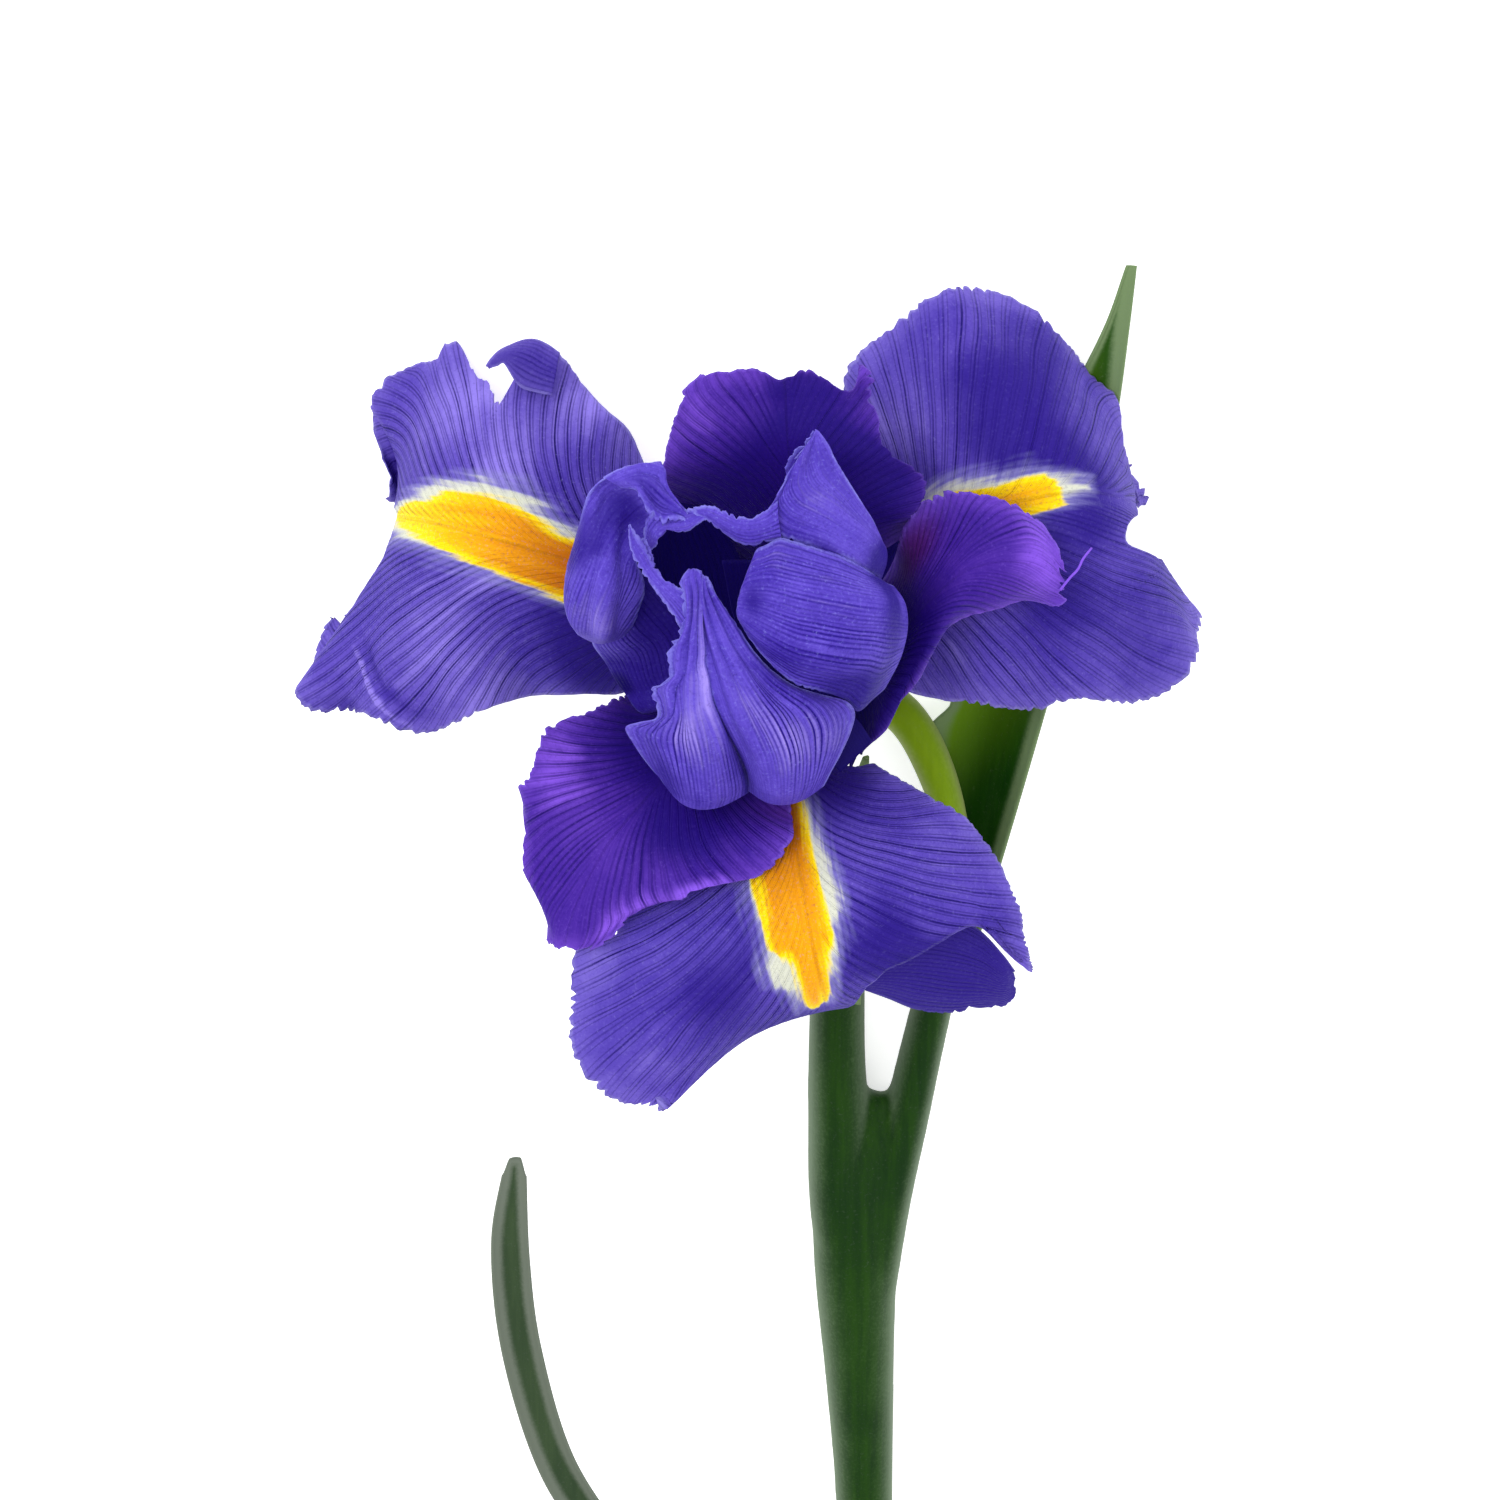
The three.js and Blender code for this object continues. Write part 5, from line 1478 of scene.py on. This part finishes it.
    def right_curl(self) -> Blade:
        """The curl that hangs from the right arm's peak."""
        form = Form(
            rib=((7, 34.1, 15.2), (6.7, 32.9, 14.4), (6, 32, 13.8), (5.4, 31.2, 13.4), (4.8, 30.2, 13),
                 (4.5, 29.4, 12.8)),
            left=((6.8, 34.3, 15.4), (6, 33.2, 14.8), (5.1, 32.5, 14.2), (4.3, 31.5, 13.8),
                  (3.9, 30.4, 13.4), (4, 29.6, 13)),
            right=((7.2, 33.8, 15), (7.3, 32.5, 14), (6.9, 31.5, 13.4), (6.3, 30.5, 13),
                   (5.6, 29.4, 12.6), (5.2, 28.8, 12.4)))
        # Its patch is painted shade.
        return Blade(form, 40, 16, patches=(Patch(0.5, 0.0, 2.0, 2.0, -0.6),), **STRIP)

    def right_inner(self) -> Blade:
        """A sheet painted with the throat's shade, which closes the throat below the right arm."""
        form = Form(
            rib=((-0.6, 21.1, 0), (1.3, 13.4, -4), (5.3, 6.5, -7), (9.7, 2, -8), (12, -0.8, -9)),
            left=((-3.1, 21, 2), (-1.3, 13.4, -2), (2.9, 5.6, -6), (7.3, 0.6, -8), (10.2, -2.5, -9)),
            right=((2.5, 21.2, -2), (5, 13.5, -6), (8.1, 7.5, -8), (12, 3.6, -8), (13.8, 1.1, -9)))
        return Blade(form, 60, 20, **INNER)

    def left_bulge(self) -> Blade:
        """The left arm's bulge, with its edge turned in."""
        form = Form(
            rib=((-16.7, 12.1, -3), (-16.6, 12.8, 2), (-16.6, 14.5, 5), (-16.4, 16.6, 7.4),
                 (-16.1, 18.9, 8.8), (-15.9, 21.1, 9.2), (-15.6, 23.2, 9), (-15.2, 25.2, 8.6),
                 (-14.6, 26.8, 8.8), (-13.9, 28, 9.6), (-13, 28.7, 11)),
            left=((-19.3, 13, -5), (-20.4, 14.5, -2), (-20.8, 16.2, 0), (-20.7, 18.1, 2),
                  (-20.3, 20.2, 4), (-19.6, 22.2, 6), (-18.9, 24.2, 7.6), (-18.2, 26, 9),
                  (-17.5, 27.6, 10.4), (-16.6, 28.8, 11.6), (-15.2, 29.7, 12.4)),
            right=((-14.1, 12.8, -4), (-13.3, 14, -0.5), (-12.6, 15.7, 2), (-12, 17.4, 3.6),
                   (-12.1, 19, 5), (-12.5, 20.2, 6.4), (-12.4, 21.2, 7.4), (-11.8, 22.3, 7.8),
                   (-10.7, 23.2, 8.2), (-10, 24.5, 9), (-9.8, 25.6, 10)))
        patches = (Patch(0.52, -0.78, 0.14, 0.5, -0.8), Patch(0.83, 0.26, 0.15, 0.6, -1.4),
                   Patch(0.5, 0.98, 0.2, 0.3, -0.8), Patch(0.66, -0.1, 0.1, 0.4, -0.5),
                   Patch(0.45, -0.8, 0.1, 0.38, -0.5), Patch(0.65, -1.0, 0.11, 0.44, -0.5),
                   Patch(0.53, -0.15, 0.06, 0.3, -0.6), Patch(0.19, 0.03, 0.12, 0.6, 0.35))
        return Blade(form, self.rows, self.columns, fan=Fan(-16, across=13, raised=0.1),
                     teeth_of=(0.05, 0.05, 0.3),
                     pleats=(Pleat(2.4, 0.35, 0.5, 0.0, 0.9),),
                     patches=patches, start=40.0, **CREST)

    def left_crest(self) -> Blade:
        """The left arm's crest over the bulge."""
        form = Form(
            rib=((-14.9, 29, 12.4), (-13.8, 29.2, 13.4), (-12.6, 29.5, 14), (-11.5, 29.4, 14.2),
                 (-10.7, 29, 14), (-9.9, 28.4, 13.6), (-9.3, 27.6, 13.4), (-8.5, 26.8, 13.4),
                 (-7.6, 26, 13.4), (-6.6, 25.4, 13.4)),
            left=((-15.9, 29.5, 11.8), (-14.9, 30, 12.4), (-13.6, 30.6, 12.8), (-12.1, 31, 13),
                  (-10.6, 31.2, 13), (-9.4, 31.1, 12.8), (-9.6, 29.5, 12.6), (-9.2, 28.1, 12.8),
                  (-8.1, 26.9, 13), (-7.1, 26, 13.2)),
            right=((-13.9, 28.4, 12), (-12.6, 28.2, 13), (-12, 27.8, 13.8), (-11.7, 26.9, 14.2),
                   (-11.1, 25.9, 14.4), (-10.3, 24.9, 14.4), (-9.4, 24.4, 14.2), (-8.4, 24.8, 14),
                   (-7.4, 24.8, 13.8), (-6.7, 24.3, 13.6)))
        patches = (Patch(0.28, 0.2, 0.19, 0.6, -0.7), Patch(0.75, 0.0, 0.15, 0.8, -0.3),
                   Patch(0.5, 0.5, 0.15, 0.5, -0.6))
        return Blade(form, 90, 40, tooth_pitch=1.5, tooth_from=0.1, start=40.0,
                     teeth_of=(0.3, 0.7, 0.4), fan=Fan(across=7, raised=0.06),
                     pleats=(Pleat(2.6, 0.35, 0.6, 0.2, 1.0),), patches=patches)

    def left_strip(self) -> Blade:
        """The strip that the left arm's inner edge runs out into."""
        form = Form(
            rib=((-11.7, 21.9, 9), (-10.7, 22.6, 11), (-10.3, 23.5, 12.4), (-9.4, 24.3, 13.2),
                 (-8.3, 24.4, 13.6), (-7, 24.5, 13.8), (-5.8, 25, 13.8), (-4.6, 25.6, 13.6)),
            left=((-12.2, 22.5, 8), (-11.6, 23.4, 10), (-11.2, 24.9, 11.2), (-10.2, 26, 12),
                  (-8.8, 26.2, 12.4), (-7.5, 26.1, 12.8), (-6.3, 26, 13), (-5, 26.1, 13.4)),
            right=((-11.1, 21.6, 9), (-10.2, 22.2, 11), (-9.7, 23, 12.2), (-8.9, 23.8, 12.8),
                   (-7.9, 23.6, 13.2), (-6.7, 23.7, 13.4), (-5.5, 24.5, 13.6), (-4.3, 25.1, 13.6)))
        return Blade(form, 70, 20, **STRIP)

    def left_strap(self) -> Blade:
        """The left arm's strap, from the column to the bulge."""
        form = Form(
            rib=((-8.9, 5.2, -12), (-10.7, 7.7, -10), (-11.8, 11.1, -7), (-13.7, 13, -4),
                 (-14.7, 15.4, -2)),
            left=((-11.4, 4.3, -14), (-14.4, 6.7, -12), (-16.4, 10, -9), (-17.8, 12.4, -6),
                  (-17.2, 15.7, -3)),
            right=((-5.2, 6.4, -10), (-6.3, 10.2, -8), (-7, 13.9, -5), (-9.2, 17.2, -3),
                   (-11.8, 19.8, -1)),
            foot=Foot(FALL_TURN["left"], ARM_FOOT))
        # Painted shade over most of the strap.
        patches = (Patch(0.52, -0.8, 0.2, 0.8, -0.8), Patch(0.82, 0.77, 0.3, 0.6, -1.9),
                   Patch(0.4, 0.6, 0.3, 0.8, -1.5), Patch(0.54, -0.91, 0.12, 0.75, -1.0),
                   Patch(0.56, -0.9, 0.12, 0.4, -1.0))
        return Blade(form, 80, 40, teeth_of=(0.0, 0.0, 0.0), fan=Fan(across=10), start=4.0,
                     patches=patches)

    def left_inner(self) -> Blade:
        """A sheet painted with the throat's shade, which closes the throat below the left arm."""
        form = Form(
            rib=((-9.1, 27.8, -1), (-7.8, 23, -4), (-6.8, 17.8, -7), (-5.1, 11.4, -11)),
            left=((-12.6, 28.5, 2), (-12.7, 23.3, 0), (-11.9, 17.9, -3), (-10.2, 11.3, -7)),
            right=((-4.9, 27.1, -3), (-1.7, 22.8, -7), (0.2, 17.9, -10), (1.7, 12, -14)))
        return Blade(form, 60, 30, **INNER)

    def build(self) -> None:
        """Makes the three style arms."""
        place_whorl("style_arm", "crests", Palette.ARM, {
            "bottom": (self.bottom_left(), self.bottom_right(), self.bottom_ribbon(),
                       self.bottom_prong()),
            "right": (self.right_lower(), self.right_upper(), self.right_ribbon(),
                      self.right_curl(), self.right_inner()),
            "left": (self.left_bulge(), self.left_crest(), self.left_strip(), self.left_strap(),
                     self.left_inner()),
        })


@dataclass
class Stamens:
    """A filament and an anther under each style arm, as (distance out, height, radius)."""

    filament: Points = ((2.9, 6.6, 0.45), (4.7, 10, 0.45), (8.6, 14.8, 0.45), (10, 16.2, 0.45))
    anther: Points = ((9.6, 15.8, 0.6), (11, 17, 0.9), (12.5, 18, 0.8), (13.9, 18.8, 0.5))
    rise: tuple[tuple[str, float], ...] = (("left", 4.7), ("right", 0.0), ("bottom", 0.5))

    def build(self) -> None:
        """Makes the three stamens, each raised along its length to pass under its arm."""
        reach = self.anther[-1][0] - self.filament[0][0]
        for where, rise in self.rise:
            rods = []
            for stations in (self.filament, self.anther):
                rows = []
                for out, up, radius in stations:
                    raised = up + rise * (out - self.filament[0][0]) / reach
                    rows.append([*at(FALL_TURN[where], out, raised), radius, radius])
                rods.append(tube(np.array(rows), 24, 20, (True, True)))
            pair = join(*rods)
            pair.points = on_bloom(pair.points)
            place_piece(pair, f"stamen_{where}_anther", Palette.ANTHER,
                        f"stamen_{where}")


@dataclass
class Stalk:
    """The stem with its fork, and the ovary with the tube over it and the style column. Rows are
    x, y, z, half width and half height in the table's frame. The neck's are a height along the
    flower's axis and a radius."""

    trunk: tuple[tuple[float, ...], ...] = (
        (16.3, -212, 3.6, 3.6, 3.6), (16.2, -192, 4.3, 3.7, 3.7), (16, -172, 4.5, 3.7, 3.7),
        (15.6, -150, 4.6, 3.7, 3.7), (15.1, -127, 4.8, 3.8, 3.8), (14.3, -108, 5, 4.5, 4.5),
        (13.6, -92, 5.2, 5.3, 5), (13.7, -79, 5.4, 5.7, 4.5), (14.8, -72, 5.3, 4.8, 3.4),
        (15.3, -67, 5.2, 2.6, 1.8))
    forks: tuple[tuple[tuple[float, ...], ...], ...] = (
        ((13.1, -98, 5.2, 3.4, 3.9), (11.6, -82, 5.5, 4, 4.5), (11.2, -69, 5.7, 3.9, 4.6),
         (10.9, -60, 5.7, 3.6, 4.3), (10.9, -49, 5.7, 3.4, 4.1)),
        ((15.3, -98, 5.2, 3.2, 3.8), (17.3, -82, 5.3, 3.2, 4.1), (19.8, -69, 5.2, 2.9, 3.9),
         (21.5, -59.9, 5, 2.7, 3.6), (23.6, -49, 5, 2.5, 3.4)))
    ovary: tuple[tuple[float, ...], ...] = (
        (21.6, -59.4, 4.8, 1.2, 1.2), (23.2, -51, 4.8, 1.3, 1.3), (25.0, -41, 5.2, 1.6, 1.6),
        (25.0, -30, 6, 1.9, 2.3), (22.5, -20.4, 5.9, 2.3, 2.8), (18.5, -13.3, 5.4, 2.4, 2.8),
        (12.8, -10.4, 4.9, 2.5, 2.7), (7.5, -9.8, 4.6, 2.5, 2.5), (3.8, -9.6, 5.2, 2.5, 2.5))
    neck: tuple[tuple[float, float], ...] = (
        (-0.5, 2.7), (2.5, TUBE_RADIUS), (TUBE_HEIGHT, 2.9))
    column: tuple[tuple[float, float], ...] = tuple(
        (up, COLUMN_RADIUS) for up in (TUBE_HEIGHT - 2, TUBE_HEIGHT + 1, COLUMN_HEIGHT))
    voxel: float = 0.5
    relaxing: int = 14

    def stem(self) -> bpy.types.Object:
        """The trunk and its two forks, melted into one skin by a voxel remesh."""
        whole = join(tube(np.array(self.trunk), 90, 48, (False, True)),
                     *(tube(np.array(fork), 50, 36, (True, False)) for fork in self.forks))
        whole.points = on_table(whole.points)
        rough = whole.object("stem_skin", Palette.STEM.material())
        remesh = rough.modifiers.new("melt", "REMESH")
        remesh.mode = "VOXEL"
        remesh.voxel_size = self.voxel * MM
        remesh.use_smooth_shade = True
        relax = rough.modifiers.new("relax", "SMOOTH")
        relax.factor = 0.5
        relax.iterations = self.relaxing
        bpy.context.view_layer.update()
        done = rough.evaluated_get(bpy.context.evaluated_depsgraph_get())
        mesh = bpy.data.meshes.new_from_object(done)
        rough.modifiers.clear()
        rough.data = mesh
        return rough

    def tube_and_column(self) -> Mesh:
        """The ovary, the bent tube under the petals and the column under the style arms."""
        neck, column = (
            [[*(on_bloom(at(0, 0, up)) - SHIFT), radius, radius] for up, radius in rows]
            for rows in (self.neck, self.column))
        made = join(tube(np.array([*self.ovary, *neck]), 120, 40, (False, True)),
                    tube(np.array(column), 10, 24, (False, True)))
        made.points = on_table(made.points)
        return made

    def build(self) -> None:
        """Makes the stem and the ovary."""
        stem = self.stem()
        add_wax_and_sheen(stem)
        hand_over(stem, "stem")
        place_piece(self.tube_and_column(), "ovary_skin", Palette.OVARY, "ovary")


@dataclass
class Greens:
    """The two spathes and the leaf."""

    outer: Form = Form(
        rib=((23.8, -50, 1.6), (26, -38, 1.5), (28, -25, 1.5),
             (30, -13.5, 1.5), (33, 0, 1.6), (36.6, 13, 1.7), (39.8, 25, 1.8), (42.3, 35, 1.9),
             (44, 42.5, 2.3)),
        left=((20, -50, 5.5), (21, -38, 3.2), (22.2, -25, 2.1),
              (24.4, -13.5, 2.2), (26.8, 0, 3), (31.6, 13, 3.2), (36.9, 25, 2.8),
              (41.4, 35, 2.5), (43.7, 42.5, 2.5)),
        right=((26.4, -50, 7.2), (29.2, -38, 7.7), (32.3, -25, 8),
               (35.1, -13.5, 7.5), (38.4, 0, 6.5), (41.3, 13, 4.8), (43.2, 25, 3.2),
               (44.2, 35, 2.6), (44.8, 42.5, 2.5)))
    inner: Form = Form(
        rib=((7.6, -51, 5.6), (8.1, -42, 5.8), (9.4, -34, 6), (11.4, -26, 6.2),
             (13.8, -18.5, 6.5)),
        left=((13.7, -51, 9.2), (13.8, -42, 8.9), (14, -34, 8.4),
              (14.3, -26, 7.6), (14.4, -18.5, 6.9)),
        right=((13.7, -51, 2.1), (13.8, -42, 2.5), (14, -34, 3.2),
               (14.3, -26, 4.6), (14.4, -18.5, 6)))
    leaf: Form = Form(
        rib=((11.4, -192, 5.2), (7, -180, 6.4), (-1, -165, 8.2), (-9.8, -147, 10),
             (-18, -131, 11), (-25.2, -117, 11.3), (-29.2, -100, 11), (-30.4, -86, 9.8),
             (-29.7, -73.3, 8.5)),
        left=((12.2, -192, 1.7), (6.6, -181.5, 3.2), (-2.6, -167.5, 7), (-11.8, -148.3, 10.6),
              (-20.2, -132.5, 12), (-27.3, -118.4, 12.5), (-31.7, -100.5, 12.2),
              (-32.8, -85, 10.8), (-31, -73.9, 8.8)),
        right=((14, -192, 8.7), (9.6, -178.8, 9.4), (1.2, -163.3, 10.6), (-7.6, -145.8, 11.6),
               (-16, -129.7, 12.2), (-23, -115.8, 12.5), (-26.8, -99.6, 12.2),
               (-28.1, -87, 10.8), (-28.3, -73.6, 8.8)))

    def build(self) -> None:
        """Makes the spathes and the leaf. The outer spathe reaches over the notch beside the
        ovary, and the corners of the leaf's end are taken off."""
        shared = {"teeth_of": (0.0, 0.0, 0.0), "thickness": 0.8, "rim": 0.35, "bloom": False,
                  "fan": Fan(across=14, raised=0.05)}
        merge = Hem(-1, ((0.25, 0), (0.3, 38), (0.34, 48), (0.355, 34), (0.375, 0)))
        tip = Hem(0, ((-1, -2), (-0.5, 0), (0.5, 0), (1, -2)))
        outer = Blade(self.outer, 180, 40, hems=(merge,), **shared)
        inner = Blade(self.inner, 90, 40, **shared)
        leaf = Blade(self.leaf, 180, 30, hems=(tip,), **shared)
        place_piece(outer.mesh(), "spathe_outer_skin", Palette.SPATHE, "spathe_outer")
        place_piece(inner.mesh(), "spathe_inner_skin", Palette.SPATHE, "spathe_inner")
        place_piece(leaf.mesh(), "leaf_skin", Palette.LEAF, "leaf")


@dataclass(frozen=True)
class Lamp:
    """A square area light that looks at a target, in metres and watts."""

    name: str
    place: Point
    target: Point
    side: float
    power: float

    def build(self) -> None:
        """Makes the light: its axes are the way back from the target, and right and up of it."""
        light = bpy.data.lights.new(self.name, "AREA")
        light.size = self.side
        light.energy = self.power
        lamp = bpy.data.objects.new(self.name, light)
        bpy.context.scene.collection.objects.link(lamp)
        back = unit(np.array(self.place) - np.array(self.target))
        right = unit(np.cross(np.array([0.0, 1.0, 0.0]), back))
        up = np.cross(back, right)
        rows = np.eye(4)
        rows[:3, :3] = np.stack([right, up, back], axis=1)
        rows[:3, 3] = self.place
        lamp.matrix_world = Matrix(rows.tolist())


@dataclass
class Studio:
    """The pale floor, the soft lights and the camera over the open flower, in metres."""

    lamps: tuple[Lamp, ...] = (
        Lamp("key", (-0.25, 0.45, 0.75), (0, 0.09, 0.04), 0.5, 4.2),
        Lamp("fill", (0.45, -0.1, 0.6), (0, 0.05, 0.04), 0.6, 1.2))
    floor_side: float = 3.0
    floor_tone: Colour = (0.93, 0.93, 0.93, 1.0)
    floor_glow: float = 0.6
    white: Colour = (1.0, 1.0, 1.0, 1.0)
    world: float = 0.92

    def floor(self) -> None:
        """A wide pale floor, on which the flower lies."""
        side = self.floor_side / 2
        mesh = bpy.data.meshes.new("floor")
        corners = [(-side, -side, 0), (side, -side, 0), (side, side, 0), (-side, side, 0)]
        mesh.from_pydata(corners, [], [(0, 1, 2, 3)])
        shader = Shader("pale floor", {
            "Roughness": 0.9, "Specular IOR Level": 0.1, "Base Color": self.floor_tone,
            "Emission Color": self.white, "Emission Strength": self.floor_glow,
        })
        mesh.materials.append(shader.material)
        floor = bpy.data.objects.new("floor", mesh)
        bpy.context.scene.collection.objects.link(floor)

    def camera(self) -> None:
        """The camera on the bloom's own axis, with the bloom's y axis up in the picture."""
        data = bpy.data.cameras.new("camera")
        data.lens = CAMERA_LENS
        data.sensor_width = CAMERA_SENSOR
        camera = bpy.data.objects.new("camera", data)
        bpy.context.scene.collection.objects.link(camera)
        camera.location = on_bloom(np.array([0.0, 0.0, CAMERA_DISTANCE])) * MM
        camera.rotation_euler = (-BLOOM_LEAN, 0.0, 0.0)
        bpy.context.scene.camera = camera

    def build(self) -> None:
        """Makes the stage, the lights and the camera, and shows colours as they are."""
        world = bpy.data.worlds.new("white room")
        world.use_nodes = True
        sky = world.node_tree.nodes["Background"]
        sky.inputs["Color"].default_value = self.white
        sky.inputs["Strength"].default_value = self.world
        bpy.context.scene.world = world
        bpy.context.scene.view_settings.view_transform = "Standard"
        self.floor()
        for lamp in self.lamps:
            lamp.build()
        self.camera()


def main() -> None:
    """Builds the flower from the inside out, then the stage."""
    Stalk().build()
    Stamens().build()
    StyleArms().build()
    Standards().build()
    Falls().build()
    Greens().build()
    Studio().build()


if __name__ == "__main__":
    main()
